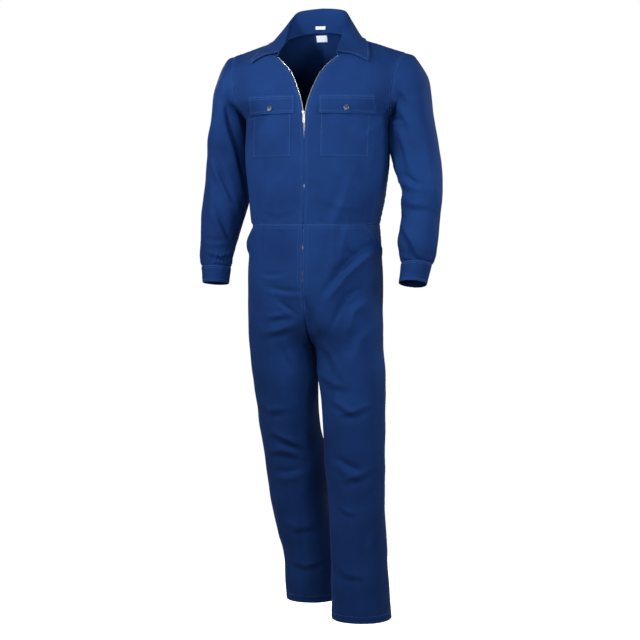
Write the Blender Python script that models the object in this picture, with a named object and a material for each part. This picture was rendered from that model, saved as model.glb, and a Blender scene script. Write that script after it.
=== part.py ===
"""A boiler suit on a hollow standing figure: one solid for each piece that is cut and sewn on.

Metres, +Z up. The front faces -Y and +X is the wearer's left. The origin lies between the shoulders at
the base of the neck, where the wearer holds the suit up. Left and right are the wearer's.

Every cloth piece starts as a surface. A panel is a stack of rows, each a cubic curve that leaves one seam,
runs round the figure and meets the next seam. A sleeve or cuff is a stack of rings. The surface is the
outer face of the cloth and the wall goes inwards. Two neighbours read the same seam rows.
"""
from bisect import bisect_right
from collections import namedtuple
from math import cos, pi, radians, sin

import bmesh
import bpy
from mathutils import Matrix, Vector
from mathutils.bvhtree import BVHTree

# ---------------------------------------------------------------- driving sizes, metres
WALL = 0.002                 # thickness of every cloth wall
GAP = 0.0003                 # air between two pieces at a seam or a lap
WAIST_Z = -0.482             # height of the seam that joins the top to the trousers
WAIST_X = 0.1680             # half the width there
ZIP_STOP_Z = -0.638          # lower end of the zip
SLIDER_Z = -0.205            # where the open zip closes

POCKET_INNER_X = {1: 0.042, -1: 0.0345}     # chest pockets, from the centre line, left then right
POCKET_WIDTH = 0.112
POCKET_TOP_Z = -0.172
POCKET_BOTTOM_Z = -0.312
FLAP_INNER_X = {1: 0.037, -1: 0.0250}       # the right one is sewn on nearer the zip
FLAP_WIDTH = 0.133
FLAP_TOP_Z = -0.157
FLAP_DEPTH = 0.047
FLAP_BUTTON_AT = 0.68        # share of the flap's depth at which its button sits
POCKET_WALL = 0.0016

MOUTH_TOP_U = 0.70           # where the slanted pocket mouth leaves the waist seam, across the front
MOUTH_DROP = 0.082           # how far down the side seam the mouth ends
FACING_LAP = 0.022           # how far the facing reaches under the front

BUTTON_RADIUS = 0.0075
BUTTON_THICKNESS = 0.0028
CUFF_BUTTON_RADIUS = 0.0065
BUTTON_CLEARANCE = 0.0004    # air between a flat button and the curved cloth under its middle

ZIP_TAPE = 0.011             # how far a zip half lies under the front edge
ZIP_TEETH = 0.0030           # how far its teeth stand out past that edge
ZIP_THICKNESS = 0.0016
ZIP_CLEARANCE = 0.0009       # air between the tape and the cloth in front of it

SLIDER_WIDTH = 0.0086
SLIDER_LENGTH = 0.0130
SLIDER_PLATE = 0.0012
PULL_LENGTH = 0.0250
PULL_WIDTH = 0.0066
PULL_THICKNESS = 0.0012
WINDOW_WIDTH = 0.0034        # opening of the pull round the bridge
WINDOW_DEPTH = 0.0062
BRIDGE_WIDTH = 0.0022
BRIDGE_SPAN = 0.0064
BRIDGE_WALL = 0.0010
WEDGE = 0.0012               # width of the wedge that parts the teeth
WEDGE_LENGTH = 0.0030
PULL_SHOULDER = (.0080, .0100)      # distances below its axis between which the pull widens
PULL_NECK = 0.8              # share of its width above them
PULL_CORNER = 0.0020         # height of its cut-off lower corners
PULL_EYE = (.0024, .0030, .0070)    # width of its hole, and how far it lies above the lower end

LABEL_WALL = 0.001
STAND_BACK_Y = 0.092         # between the collar's stand and its leaf at the centre back
LABEL_X = -0.005             # the labels sit a little to the right of the centre back
NECK_LABEL = (.026, .008, .031)     # width, height and middle height
SIZE_LABEL = (.029, .016, .004)

OUT = "out"                  # name of the point data that holds the direction out of the cloth
OVERLAP = 0.0004             # how far bars of the slider reach into each other where they are united
CENTRE_REACH = 0.004         # points of the back this near the centre line are put on it

ARMHOLE_HUB = (.205, .030, -.125)   # middle of the left armhole
ARMHOLE_LEAVE = (.93, .15, .20)     # how a sleeve leaves it: outwards, up, and down at the underside
SLEEVE_START = 0.0016        # share of a sleeve's length left free at the armhole
CUFF_RISE_AT = 330           # degrees round at which a cuff begins to climb over its own start
CUFF_RISE_RATE = 2.2
ROLL_AT = 0.42               # share of the collar's depth at which it rolls over
LEAF_START = 0.5             # share at which the leaf begins to be held off the top, and how fast
LEAF_RAMP = 0.12

ARMPIT_Z = -0.216
PANEL_CELLS = 9              # mesh cells across each body panel
SLEEVE_CELLS = 21            # cells along a sleeve
LEG_CELLS = 34               # cells up a trouser panel
TOP_CELLS = (0, 9, 14, 18)   # cells up a top panel: to the armpit, to the end of the lapel, to the shoulder

# ---------------------------------------------------------------- seam rows, metres
# in_*: the inner seam, with the pull of the curve that leaves it. out_*: the outer seam, likewise.
Row = namedtuple("Row", "in_x in_y in_z in_dx in_dy in_dz out_x out_y out_z out_dx out_dy out_dz")

# Front of the top, from the waist seam up: centre front, then the open zip, then the neck seam, against
# the side seam, then the armhole.
FRONT_ROWS = (
    Row(.0002, -.135, WAIST_Z, .098, 0, 0, WAIST_X, .015, WAIST_Z, 0, -.088, 0),
    Row(.0002, -.139, -.410, .105, 0, 0, .179, .015, -.410, 0, -.092, 0),
    Row(.0002, -.141, -.330, .112, 0, 0, .188, .015, -.330, 0, -.092, 0),
    Row(.0004, -.140, -.270, .112, 0, 0, .189, .018, -.275, 0, -.088, 0),
    Row(.0037, -.1375, -.205, .100, .002, 0, .190, .022, ARMPIT_Z, 0, -.070, .010),
    Row(.0167, -.130, -.150, .085, .004, .002, .200, -.042, -.172, -.030, -.050, .002),
    Row(.0416, -.116, -.096, .065, .004, .006, .208, -.050, -.132, -.045, -.040, .006),
    Row(.0800, -.098, -.057, .045, .004, .004, .213, -.040, -.095, -.050, -.028, .012),
    Row(.0920, -.045, -.040, .040, -.003, .000, .220, -.008, -.064, -.050, -.010, .014),
    Row(.0820, .030, -.002, .045, .003, -.004, .229, .033, -.042, -.050, 0, .016),
)
# Back of the top, from the waist seam up: centre back, then the neck seam, against side and armhole.
BACK_ROWS = (
    Row(0, .118, WAIST_Z, .098, 0, 0, WAIST_X, .015, WAIST_Z, 0, .060, 0),
    Row(0, .122, -.410, .105, 0, 0, .179, .015, -.410, 0, .062, 0),
    Row(0, .134, -.330, .110, 0, 0, .188, .015, -.330, 0, .070, 0),
    Row(0, .143, -.260, .110, 0, 0, .189, .018, -.275, 0, .075, 0),
    Row(0, .146, -.190, .105, 0, 0, .190, .022, ARMPIT_Z, 0, .060, .010),
    Row(0, .140, -.120, .100, 0, 0, .203, .088, -.166, -.020, .040, 0),
    Row(0, .122, -.060, .095, 0, 0, .210, .098, -.125, -.040, .030, .010),
    Row(0, .100, -.014, .085, 0, 0, .217, .085, -.086, -.045, .020, .015),
    Row(0, .080, .018, .075, .004, -.004, .224, .062, -.058, -.050, .008, .016),
    Row(.050, .064, .013, .055, 0, -.006, .228, .047, -.047, -.050, .003, .014),
    Row(.082, .030, -.002, .045, .003, -.004, .229, .033, -.042, -.050, 0, .016),
)
# Trouser front and back between the waist seam and the crotch, from the lowest row up.
SEAT_FRONT_ROWS = (
    Row(.0035, .004, -.802, .012, -.140, -.004, .1740, .010, -.802, 0, -.138, 0),
    Row(.0020, -.055, -.785, .036, -.085, -.010, .1750, .010, -.778, 0, -.135, 0),
    Row(.0006, -.100, -.747, .062, -.045, -.006, .1755, .012, -.747, 0, -.125, 0),
    Row(.0002, -.127, -.690, .080, -.016, 0, .1755, .013, -.690, 0, -.110, 0),
    Row(.0002, -.137, -.600, .098, 0, 0, .1755, .015, -.600, 0, -.095, 0),
    Row(.0002, -.135, WAIST_Z, .098, 0, 0, WAIST_X, .015, WAIST_Z, 0, -.088, 0),
)
SEAT_BACK_ROWS = (
    Row(.0035, .004, -.802, .012, .130, -.004, .1740, .010, -.802, 0, .128, 0),
    Row(.0020, .060, -.789, .034, .080, -.010, .1750, .010, -.778, 0, .126, 0),
    Row(.0006, .107, -.752, .060, .042, -.006, .1755, .012, -.747, 0, .120, 0),
    Row(.0002, .136, -.690, .084, .014, 0, .1755, .013, -.690, 0, .105, 0),
    Row(.0002, .138, -.600, .098, 0, 0, .1755, .015, -.600, 0, .085, 0),
    Row(.0002, .118, WAIST_Z, .098, 0, 0, WAIST_X, .015, WAIST_Z, 0, .060, 0),
)

# ---------------------------------------------------------------- legs, rings from the hem up
LegRing = namedtuple("LegRing", "x y z half_width front back turn")
LEFT_LEG = (
    LegRing(.129, -.035, -1.500, .077, .079, .077, 0),
    LegRing(.122, -.034, -1.355, .0735, .076, .075, 0),
    LegRing(.115, -.031, -1.215, .0715, .075, .075, 0),
    LegRing(.1095, -.028, -1.105, .0765, .079, .077, 0),
    LegRing(.1040, -.022, -.950, .0820, .090, .085, 0),
    LegRing(.0965, -.010, -.865, .0875, .100, .097, 0),
)
RIGHT_LEG = (
    LegRing(-.0265, .090, -1.480, .0710, .080, .080, -14),
    LegRing(-.0335, .088, -1.360, .0725, .078, .079, -12),
    LegRing(-.0465, .081, -1.300, .0745, .077, .079, -10),
    LegRing(-.0605, .070, -1.215, .0765, .077, .079, -8),
    LegRing(-.0655, .055, -1.105, .0835, .081, .080, -6),
    LegRing(-.0770, .038, -1.025, .0795, .086, .082, -4),
    LegRing(-.0815, .024, -.950, .0805, .092, .087, -2),
    LegRing(-.0850, .011, -.865, .0855, .100, .097, 0),
)

# ---------------------------------------------------------------- sleeves, rings from shoulder to cuff
# tilt: how far the outer side is lifted. pitch: how far the arm swings forwards. free: how far the ring
# has left the armhole's own outline.
ArmRing = namedtuple("ArmRing", "x y z inner outer deep tilt pitch free")
LEFT_ARM = (
    ArmRing(.226, .030, -.132, .078, .078, .078, 58, 0, .35),
    ArmRing(.238, .030, -.165, .050, .064, .078, 30, 0, .75),
    ArmRing(.2465, .030, -.215, .0525, .056, .076, 10, 0, 1),
    ArmRing(.2540, .028, -.270, .0600, .059, .073, 0, 4, 1),
    ArmRing(.2630, .018, -.335, .0615, .062, .070, 0, 8, 1),
    ArmRing(.2725, .006, -.376, .0540, .057, .067, 0, 12, 1),
    ArmRing(.2790, -.002, -.402, .0510, .0515, .065, 0, 14, 1),
    ArmRing(.2780, -.008, -.430, .0525, .0525, .063, 0, 15, 1),
    ArmRing(.2770, -.016, -.472, .0500, .0500, .060, 0, 15, 1),
    ArmRing(.2740, -.028, -.523, .0511, .0511, .057, 0, 15, 1),
    ArmRing(.2730, -.034, -.552, .0480, .0480, .054, 0, 15, 1),
    ArmRing(.2725, -.039, -.571, .0420, .0430, .049, 0, 15, 1),
    ArmRing(.2710, -.0425, -.583, .0370, .0390, .0445, 0, 15, 1),
)
RIGHT_ARM = (
    ArmRing(.222, .030, -.132, .076, .068, .080, 60, 0, .35),
    ArmRing(.233, .031, -.165, .045, .050, .082, 30, 0, .75),
    ArmRing(.241, .033, -.215, .0470, .046, .083, 8, 0, 1),
    ArmRing(.2450, .035, -.265, .0510, .052, .080, 0, 0, 1),
    ArmRing(.2465, .035, -.313, .0540, .0540, .076, 0, 0, 1),
    ArmRing(.2465, .031, -.366, .0570, .0580, .072, 0, 3, 1),
    ArmRing(.2498, .025, -.419, .0610, .0610, .067, 0, 6, 1),
    ArmRing(.2582, .015, -.471, .0557, .0557, .064, 0, 8, 1),
    ArmRing(.2630, .004, -.524, .0476, .0476, .058, 0, 8, 1),
    ArmRing(.2672, -.006, -.565, .0415, .0415, .052, 0, 8, 1),
    ArmRing(.2668, -.012, -.594, .0372, .0372, .0455, 0, 8, 1),
)
CuffShape = namedtuple("CuffShape", "bottom lap_at")
LEFT_CUFF = CuffShape(ArmRing(.2640, -.0570, -.6330, .0345, .0345, .0425, 0, 15, 1), 250)
RIGHT_CUFF = CuffShape(ArmRing(.2662, -.0190, -.6370, .0330, .0330, .0430, 0, 8, 1), 250)
CUFF_DEPTH = 0.050
CUFF_LAP = 28                # degrees by which a cuff laps over itself

# ---------------------------------------------------------------- collar, sections from back to front
CollarRow = namedtuple("CollarRow", "roll_x roll_y roll_z edge_x edge_y edge_z")
COLLAR_ROWS = (
    CollarRow(0, .070, .0785, 0, .118, .020),
    CollarRow(.034, .067, .0765, .048, .110, .016),
    CollarRow(.0635, .058, .0690, .090, .088, .006),
    CollarRow(.0745, .032, .0450, .1190, .044, -.0100),
    CollarRow(.0750, -.006, .0130, .1370, -.002, -.0300),
    CollarRow(.0735, -.046, -.0200, .1480, -.046, -.0560),
    CollarRow(.0790, -.096, -.0470, .1500, -.078, -.0740),
)
SEAM_RISE = 0.0015           # how far the collar stands above the neck edge
LEAF_CLEARANCE = 0.0036      # height of the leaf's outer face above the cloth that it lies on
COLLAR_CELLS = 28            # mesh cells round the collar

# ---------------------------------------------------------------- largest folds, metres
# A soft ridge (height above 0) or trough (below 0) along a line from a to b, fading out at both ends.
Fold = namedtuple("Fold", "ax ay az bx by bz width height")
BODY_FOLDS = (
    Fold(.010, -.135, -.700, .150, -.110, -.590, .016, .009),     # drag from the crotch up to the left hip
    Fold(.030, -.140, -.735, .160, -.100, -.640, .013, -.008),
    Fold(.060, -.140, -.770, .170, -.060, -.700, .015, .006),
    Fold(-.010, -.135, -.720, -.090, -.130, -.690, .012, .006),   # short drag to the right thigh
    Fold(-.015, -.130, -.755, -.110, -.120, -.735, .012, -.006),
    Fold(.000, -.140, -.655, -.080, -.135, -.650, .009, -.004),   # creases across below the zip
    Fold(.050, .130, -.760, .130, .125, -.820, .016, .008),       # under the seat
    Fold(-.050, .130, -.760, -.130, .125, -.820, .016, .008),
    Fold(.070, .135, -.450, .140, .090, -.510, .014, .006),       # over the back of the waist
    Fold(-.070, .135, -.450, -.140, .090, -.510, .014, .006),
    Fold(.110, -.110, -1.120, .170, -.060, -1.080, .018, .006),   # knees
    Fold(.070, -.100, -1.060, .150, -.095, -1.020, .020, -.005),
    Fold(-.110, -.015, -1.110, -.050, -.025, -1.080, .018, .006),
    Fold(-.130, .010, -1.330, -.080, -.010, -1.300, .016, .006),
)
ARM_FOLDS = {
    1: (
        Fold(.215, -.040, -.200, .275, -.045, -.380, .015, -.008),
        Fold(.240, -.060, -.300, .300, -.050, -.420, .014, .007),
        Fold(.235, -.060, -.400, .300, -.070, -.460, .012, -.007),
        Fold(.235, -.075, -.520, .310, -.080, -.480, .012, .006),
        Fold(.235, -.070, -.560, .300, -.085, -.545, .009, -.005),
        Fold(.270, .090, -.400, .320, .050, -.360, .014, .006),
    ),
    -1: (
        Fold(-.215, -.045, -.170, -.225, -.040, -.400, .016, -.010),
        Fold(-.270, -.050, -.200, -.240, -.045, -.420, .014, .006),
        Fold(-.220, -.045, -.430, -.280, -.045, -.480, .013, .007),
        Fold(-.235, -.055, -.500, -.300, -.040, -.520, .011, -.005),
        Fold(-.240, .100, -.420, -.300, .060, -.380, .014, .006),
    ),
}

# ---------------------------------------------------------------- stance
# The figure rests on one leg, so the trunk leans a little to its right at the hips.
Lean = namedtuple("Lean", "z x")
LEAN = (Lean(-.80, -.0015), Lean(-.74, -.0035), Lean(-.64, -.0050), Lean(-.485, -.0030), Lean(-.41, .0005),
        Lean(-.33, .0015), Lean(-.20, .0005), Lean(0, .000))

# ---------------------------------------------------------------- colours, linear RGB
ROYAL_BLUE = (.012, .045, .155)
DARK_BUTTON = (.040, .052, .070)
NICKEL = (.62, .62, .60)
LABEL_WHITE = (.62, .66, .72)


# ================================================================ curves and surfaces
def between(a, b, t):
    """The value at share t of the way from a to b."""
    return a + (b - a) * t


def smooth(stations, values, t, corner=None):
    """The smooth curve through the values at their stations, read at t. It may turn sharply at a corner."""
    start = min(max(bisect_right(stations, t) - 1, 0), len(stations) - 2)
    span = stations[start + 1] - stations[start]
    s = (t - stations[start]) / span

    def slope(k):
        low, high = max(k - 1, 0), min(k + 1, len(values) - 1)
        if k == corner:
            low, high = start, start + 1
        return (values[high] - values[low]) * (span / (stations[high] - stations[low]))

    return (values[start] * (2 * s ** 3 - 3 * s ** 2 + 1) + slope(start) * (s ** 3 - 2 * s ** 2 + s)
            + values[start + 1] * (3 * s ** 2 - 2 * s ** 3) + slope(start + 1) * (s ** 3 - s ** 2))


def bezier(points, t):
    """The cubic curve of four control points, read at t."""
    a, b, c, d = points
    r = 1 - t
    return a * r ** 3 + b * (3 * r * r * t) + c * (3 * r * t * t) + d * t ** 3


def lean_at(z):
    """Sideways shift of the trunk at height z."""
    return smooth([row.z for row in LEAN], [row.x for row in LEAN], min(max(z, LEAN[0].z), LEAN[-1].z))


def stations_of(points):
    """Distance along the points, from 0 to 1."""
    marks = [0.0]
    for a, b in zip(points, points[1:]):
        marks.append(marks[-1] + (b - a).length)
    return [mark / marks[-1] for mark in marks]


def row_controls(row, side):
    """The four control points of a seam row on the left (side 1) or right (side -1)."""
    start = Vector((side * row.in_x + lean_at(row.in_z), row.in_y, row.in_z))
    end = Vector((side * row.out_x + lean_at(row.out_z), row.out_y, row.out_z))
    leave = Vector((side * row.in_dx, row.in_dy, row.in_dz))
    arrive = Vector((side * row.out_dx, row.out_dy, row.out_dz))
    return (start, start + leave, end + arrive, end)


def leg_controls(ring, side, half):
    """The four control points of half a leg ring, from inseam to side seam: half -1 front, 1 back."""
    turn = Matrix.Rotation(radians(ring.turn), 3, "Z")
    centre = Vector((ring.x, ring.y, ring.z))
    across = turn @ Vector((side * ring.half_width, 0, 0))
    depth = ring.front if half < 0 else ring.back
    reach = turn @ Vector((0, half * depth * 4 / 3, 0))
    return (centre - across, centre - across + reach, centre + across + reach, centre + across)


class Form:
    """A surface read at (u, v), with the soft folds that lie on it."""

    STEP = 0.004

    def __init__(self, at, outward, folds=(), marks=(0, 1), ends=(None, None)):
        """outward is 1 where u across v points out of the garment, else -1. marks are its rows' heights.

        ends turn the direction out of the cloth at v 0 and v 1 into one that the next piece shares.
        """
        self.at = at
        self.outward = outward
        self.folds = folds
        self.marks = marks
        self.ends = ends

    def normal(self, u, v):
        """The direction out of the cloth."""
        across = self.at(u + self.STEP, v) - self.at(u - self.STEP, v)
        along = self.at(u, v + self.STEP) - self.at(u, v - self.STEP)
        return across.cross(along).normalized() * self.outward

    def fold_height(self, point):
        """How far the folds lift the cloth at a point."""
        total = 0.0
        for fold in self.folds:
            start = Vector((fold.ax, fold.ay, fold.az))
            run = Vector((fold.bx, fold.by, fold.bz)) - start
            share = min(max((point - start).dot(run) / run.length_squared, 0), 1)
            away = (point - start - run * share).length / fold.width
            if away < 3:
                total += fold.height * sin(pi * min(max(share, .04), .96)) * 2.718 ** (-away * away)
        return total

    def place(self, u, v):
        """The point at (u, v) on its folds, and the direction out of the cloth there."""
        base = self.at(u, v)
        out = self.normal(u, v)
        turn = self.ends[0] if v < .001 else self.ends[1] if v > .999 else None
        out = turn(out) if turn else out
        return base + out * self.fold_height(base), out


def level(out):
    """The horizontal part of a direction."""
    return Vector((out.x, out.y, 0)).normalized()


def ridge(side):
    """The direction out of the cloth along a shoulder seam."""
    def turn(_):
        return Vector((side * .26, 0, .966))

    return turn


def panel(controls, outward, corner, ends, folds=BODY_FOLDS):
    """The surface through a stack of curves, each given by four control points.

    Heights v go by distance along the outer seam, which both its neighbours share. corner holds the row at
    which the inner seam turns sharply, then the row at which the outer one does.
    """
    marks = stations_of([c[3] for c in controls])

    def at(u, v):
        v = min(max(v, 0), 1)
        u = min(max(u, 0), 1)
        curve = [smooth(marks, [c[k] for c in controls], v, corner[k // 2]) for k in range(4)]
        return bezier(curve, u)

    return Form(at, outward, folds, marks, ends)


# ================================================================ meshes
def material(name, colour, roughness, metallic=0.0):
    """A plain Principled material."""
    made = bpy.data.materials.new(name)
    made.use_nodes = True
    shader = made.node_tree.nodes["Principled BSDF"]
    shader.inputs["Base Color"].default_value = (*colour, 1)
    shader.inputs["Roughness"].default_value = roughness
    shader.inputs["Metallic"].default_value = metallic
    return made


def keep(name, work, finish, smooth_shading=True):
    """Turns a bmesh into a named object."""
    mesh = bpy.data.meshes.new(name)
    work.to_mesh(mesh)
    work.free()
    if smooth_shading:
        mesh.shade_smooth()
        mesh.set_sharp_from_angle(angle=radians(40))
    mesh.materials.append(finish)
    made = bpy.data.objects.new(name, mesh)
    bpy.context.scene.collection.objects.link(made)
    return made


def new_surface():
    """An empty mesh whose points also carry the direction out of the cloth."""
    work = bmesh.new()
    work.verts.layers.float_vector.new(OUT)
    return work


def grid(work, place, across, along):
    """Adds a grid of cells. place(u, v) gives a point of the outer face and the way out of the cloth."""
    out = work.verts.layers.float_vector[OUT]
    made = bmesh.ops.create_grid(work, x_segments=across, y_segments=along, size=0.5)
    for vert in made["verts"]:
        vert.co, vert[out] = place(min(max(vert.co.x + 0.5, 0), 1), min(max(vert.co.y + 0.5, 0), 1))
    bmesh.ops.triangulate(work, faces=work.faces, quad_method="FIXED")
    work.normal_update()
    return work


def cut(work, point, away):
    """Cuts off what lies beyond a plane, on the side that away points to."""
    parts = work.verts[:] + work.edges[:] + work.faces[:]
    bmesh.ops.bisect_plane(work, geom=parts, plane_co=point, plane_no=away, clear_outer=True)


def lift(work, distance):
    """Moves a surface out of the cloth."""
    out = work.verts.layers.float_vector[OUT]
    for vert in work.verts:
        vert.co += vert[out].normalized() * distance


def cloth_wall(name, work, finish, wall=WALL):
    """Makes a surface a closed wall that goes inwards."""
    out = work.verts.layers.float_vector[OUT]
    bmesh.ops.triangulate(work, faces=work.faces)
    inner = bmesh.ops.extrude_face_region(work, geom=work.faces, use_keep_orig=True)
    for item in inner["geom"]:
        if isinstance(item, bmesh.types.BMVert):
            item.co -= item[out].normalized() * wall
    bmesh.ops.triangulate(work, faces=work.faces, quad_method="FIXED")
    bmesh.ops.recalc_face_normals(work, faces=work.faces)
    return keep(name, work, finish)


def trimmed(form, start_gap=GAP / 2, end_gap=GAP / 2, heights=None):
    """Reads a form inside its four seams, short of each by half a seam gap."""
    height = sum((form.at(1, (k + 1) / 40) - form.at(1, k / 40)).length for k in range(40))

    def place(u, v):
        v = heights(v) if heights else v
        width = sum((form.at((k + 1) / 6, v) - form.at(k / 6, v)).length for k in range(6))
        u = between(start_gap / width, 1 - end_gap / width, u)
        return form.place(u, between(GAP / 2 / height, 1 - GAP / 2 / height, v))

    return place


# ================================================================ the top
def pit_row(rows):
    """The number of the row that ends at the armpit."""
    return next(k for k, row in enumerate(rows) if row.out_z == ARMPIT_Z)


def front_form(side):
    """Surface of a front of the top."""
    pit = pit_row(FRONT_ROWS)
    return panel([row_controls(row, side) for row in FRONT_ROWS], side, (None, pit), (level, ridge(side)))


def back_half_form(side):
    """Surface of half the back of the top."""
    pit = pit_row(BACK_ROWS)
    return panel([row_controls(row, side) for row in BACK_ROWS], -side, (None, pit), (level, ridge(side)))


def top_heights(form, rows):
    """The heights of a top panel's grid rows, with whole cells up to the armpit and the lapel's end."""
    knots = (0, form.marks[pit_row(rows)], form.marks[-3], 1)
    shares = [mark / TOP_CELLS[-1] for mark in TOP_CELLS]

    def height(v):
        part = min(max(bisect_right(shares, v) - 1, 0), 2)
        return between(knots[part], knots[part + 1], (v - shares[part]) / (shares[part + 1] - shares[part]))

    return height


def front_place(side):
    """The points of a front of the top."""
    form = front_form(side)
    return trimmed(form, heights=top_heights(form, FRONT_ROWS))


def front_grid(side):
    """The outer face of a front of the top, from the zip to the side seam and the armhole."""
    return grid(new_surface(), front_place(side), PANEL_CELLS, TOP_CELLS[-1])


def back_grid():
    """The outer face of the back: two mirrored halves welded down the centre, open at the neckline."""
    forms = {side: back_half_form(side) for side in (1, -1)}
    halves = {side: trimmed(form, 0, heights=top_heights(form, BACK_ROWS)) for side, form in forms.items()}
    work = new_surface()

    def place_on(side):
        def place(u, v):
            point, out = halves[side](u, v)
            centre = halves[1](0, v)[0]
            if u < 1e-5 and centre.x - lean_at(centre.z) < CENTRE_REACH:
                middle = Vector((lean_at(centre.z), centre.y, centre.z))
                return middle, Vector((0, out.y, out.z)).normalized()
            return point, out

        return place

    for side in (1, -1):
        grid(work, place_on(side), PANEL_CELLS, TOP_CELLS[-1])
    bmesh.ops.remove_doubles(work, verts=work.verts, dist=1e-5)
    return work


# ================================================================ sleeves and cuffs
def ring_point(ring, side, angle):
    """A point of an arm ring. Angle 0 is the underarm, a quarter turn on is the front."""
    tilt, pitch = radians(ring.tilt), radians(ring.pitch)
    outwards = Vector((side * cos(tilt), 0, sin(tilt)))
    forwards = Vector((0, -cos(pitch), sin(pitch)))
    centre = Vector((side * ring.x, ring.y, ring.z))
    reach = ring.inner if cos(angle) > 0 else ring.outer
    return centre - outwards * (reach * cos(angle)) + forwards * (ring.deep * sin(angle))


def armhole_point(side, angle):
    """A point of the armhole's edge, by the same angle as a ring's."""
    rows = FRONT_ROWS if angle <= pi else BACK_ROWS
    form = front_form(side) if angle <= pi else back_half_form(side)
    share = angle / pi if angle <= pi else (2 * pi - angle) / pi
    pit = TOP_CELLS[1] / TOP_CELLS[-1]
    return form.at(1, top_heights(form, rows)(between(pit, 1, share)))


def arm_form(side, rings):
    """Surface of a sleeve: u round the arm, v from the armhole to the cuff."""
    steps = 2 * (TOP_CELLS[-1] - TOP_CELLS[1])
    loop = [armhole_point(side, 2 * pi * k / steps) for k in range(steps + 1)]
    hub_x, hub_y, hub_z = ARMHOLE_HUB
    outwards, up, down = ARMHOLE_LEAVE
    centres = [Vector((side * hub_x, hub_y, hub_z))] + [Vector((side * r.x, r.y, r.z)) for r in rings]
    marks = stations_of(centres)

    def at(u, v):
        v = min(max(v, 0), 1)
        angle = 2 * pi * (u % 1.0)
        spot = (u % 1.0) * steps
        low = min(int(spot), steps - 1)
        edge = between(loop[low], loop[low + 1], spot - low)
        leave = Vector((side * outwards, 0, up - down * (1 - cos(angle))))
        column = [edge]
        for ring, centre in zip(rings, centres[1:]):
            away = (centre - centres[0]).length
            follow = edge + leave * away
            column.append(between(follow, ring_point(ring, side, angle), ring.free))
        return smooth(marks, column, v)

    return Form(at, -side, ARM_FOLDS[side], marks)


def sleeve_grid(side, rings):
    """The outer face of a sleeve, an open tube from the armhole to the cuff."""
    form = arm_form(side, rings)
    around = 2 * (TOP_CELLS[-1] - TOP_CELLS[1])

    def place(u, v):
        return form.place(u % 1.0, between(SLEEVE_START, 1, v))

    work = grid(new_surface(), place, around, SLEEVE_CELLS)
    bmesh.ops.remove_doubles(work, verts=work.verts, dist=1e-5)
    return work


def cuff_form(side, top, shape):
    """Surface of a cuff: u round the wrist with the lap, v from the top to the opening."""
    def at(u, v):
        turn = 360 + CUFF_LAP
        angle = radians(shape.lap_at + turn * u)
        upper, lower = ring_point(top, side, angle), ring_point(shape.bottom, side, angle)
        middle = between(Vector((side * top.x, top.y, top.z)),
                         Vector((side * shape.bottom.x, shape.bottom.y, shape.bottom.z)), v)
        here = between(upper, lower, between(GAP / CUFF_DEPTH * 2, 1, v))
        rise = max(0.0, (u * turn - CUFF_RISE_AT) / (turn - CUFF_RISE_AT))
        return here + (here - middle).normalized() * (WALL + 2 * GAP) * min(rise * CUFF_RISE_RATE, 1)

    return Form(at, -side)


# ================================================================ collar
def neckline(side):
    """The neck edge of half the top, from the centre back to the end of the lapel."""
    back, front = back_half_form(side), front_form(side)
    start, end = back.marks[-3], front.marks[-3]
    points = [back.at(0, between(start, 1, k / 10)) for k in range(10)]
    return points + [front.at(0, between(1, end, k / 10)) for k in range(11)]


def collar_form():
    """Surface of the collar: u round the neck from right to left, v from neck seam over the roll."""
    rows = [tuple(Vector((getattr(row, part + "_x"), getattr(row, part + "_y"), getattr(row, part + "_z")))
                  for part in ("roll", "edge")) for row in COLLAR_ROWS]
    marks = stations_of([row[1] for row in rows])
    necks = {side: neckline(side) for side in (1, -1)}
    neck_marks = {side: stations_of(points) for side, points in necks.items()}
    weights = ((1 - ROLL_AT) ** 3, 3 * ROLL_AT * (1 - ROLL_AT), ROLL_AT ** 3)

    def at(u, v):
        side = 1 if u >= 0.5 else -1
        spot = min(abs(2 * u - 1), 1)
        seam = smooth(neck_marks[side], necks[side], spot) + Vector((0, 0, SEAM_RISE))
        roll, edge = (smooth(marks, [row[k] for row in rows], spot) for k in range(2))
        roll, edge = (Vector((side * point.x + lean_at(0), point.y, point.z)) for point in (roll, edge))
        crown = (roll - seam * weights[0] - edge * weights[2]) / weights[1]
        return bezier((seam, crown, crown, edge), min(max(v, 0), 1))

    return Form(at, -1)


def collar_grid():
    """The face of the collar that shows, rolled over and open at the front. Its leaf lies on the top."""
    form = collar_form()
    skins = []
    for body in (front_grid(1), front_grid(-1), back_grid()):
        skins.append(BVHTree.FromBMesh(body))
        body.free()

    def place(u, v):
        point, out = form.place(u, v)
        needed = LEAF_CLEARANCE * min(max((v - LEAF_START) / LEAF_RAMP, 0), 1)
        spot, up, _, _ = min((skin.find_nearest(point) for skin in skins), key=lambda found: found[3])
        up = up if up.z > 0 else -up
        above = (point - spot).dot(up)
        return point + up * max(needed - above, 0), out

    return grid(new_surface(), place, COLLAR_CELLS, 8)


# ================================================================ trousers
def trouser_form(side, half):
    """Surface of a trouser front (half -1) or back (half 1), from the hem up to the waist seam."""
    leg = LEFT_LEG if side > 0 else RIGHT_LEG
    seat = SEAT_FRONT_ROWS if half < 0 else SEAT_BACK_ROWS
    stack = [leg_controls(ring, side, half) for ring in leg]
    stack += [row_controls(row, side) for row in seat]
    return panel(stack, -side * half, (len(leg), None), (None, level))


def mouth_cut(side):
    """The slanted line of the hip pocket's mouth: its upper end and the direction towards the side seam."""
    form = trouser_form(side, -1)
    upper = form.at(MOUTH_TOP_U, 1)
    low = next(k / 400 for k in range(400) if form.at(1, k / 400).z > WAIST_Z - MOUTH_DROP)
    run = (form.at(1, low) - upper).normalized()
    away = run.cross(form.normal(MOUTH_TOP_U + .15, .97)).normalized()
    return upper, away if away.z > 0 else -away


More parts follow.
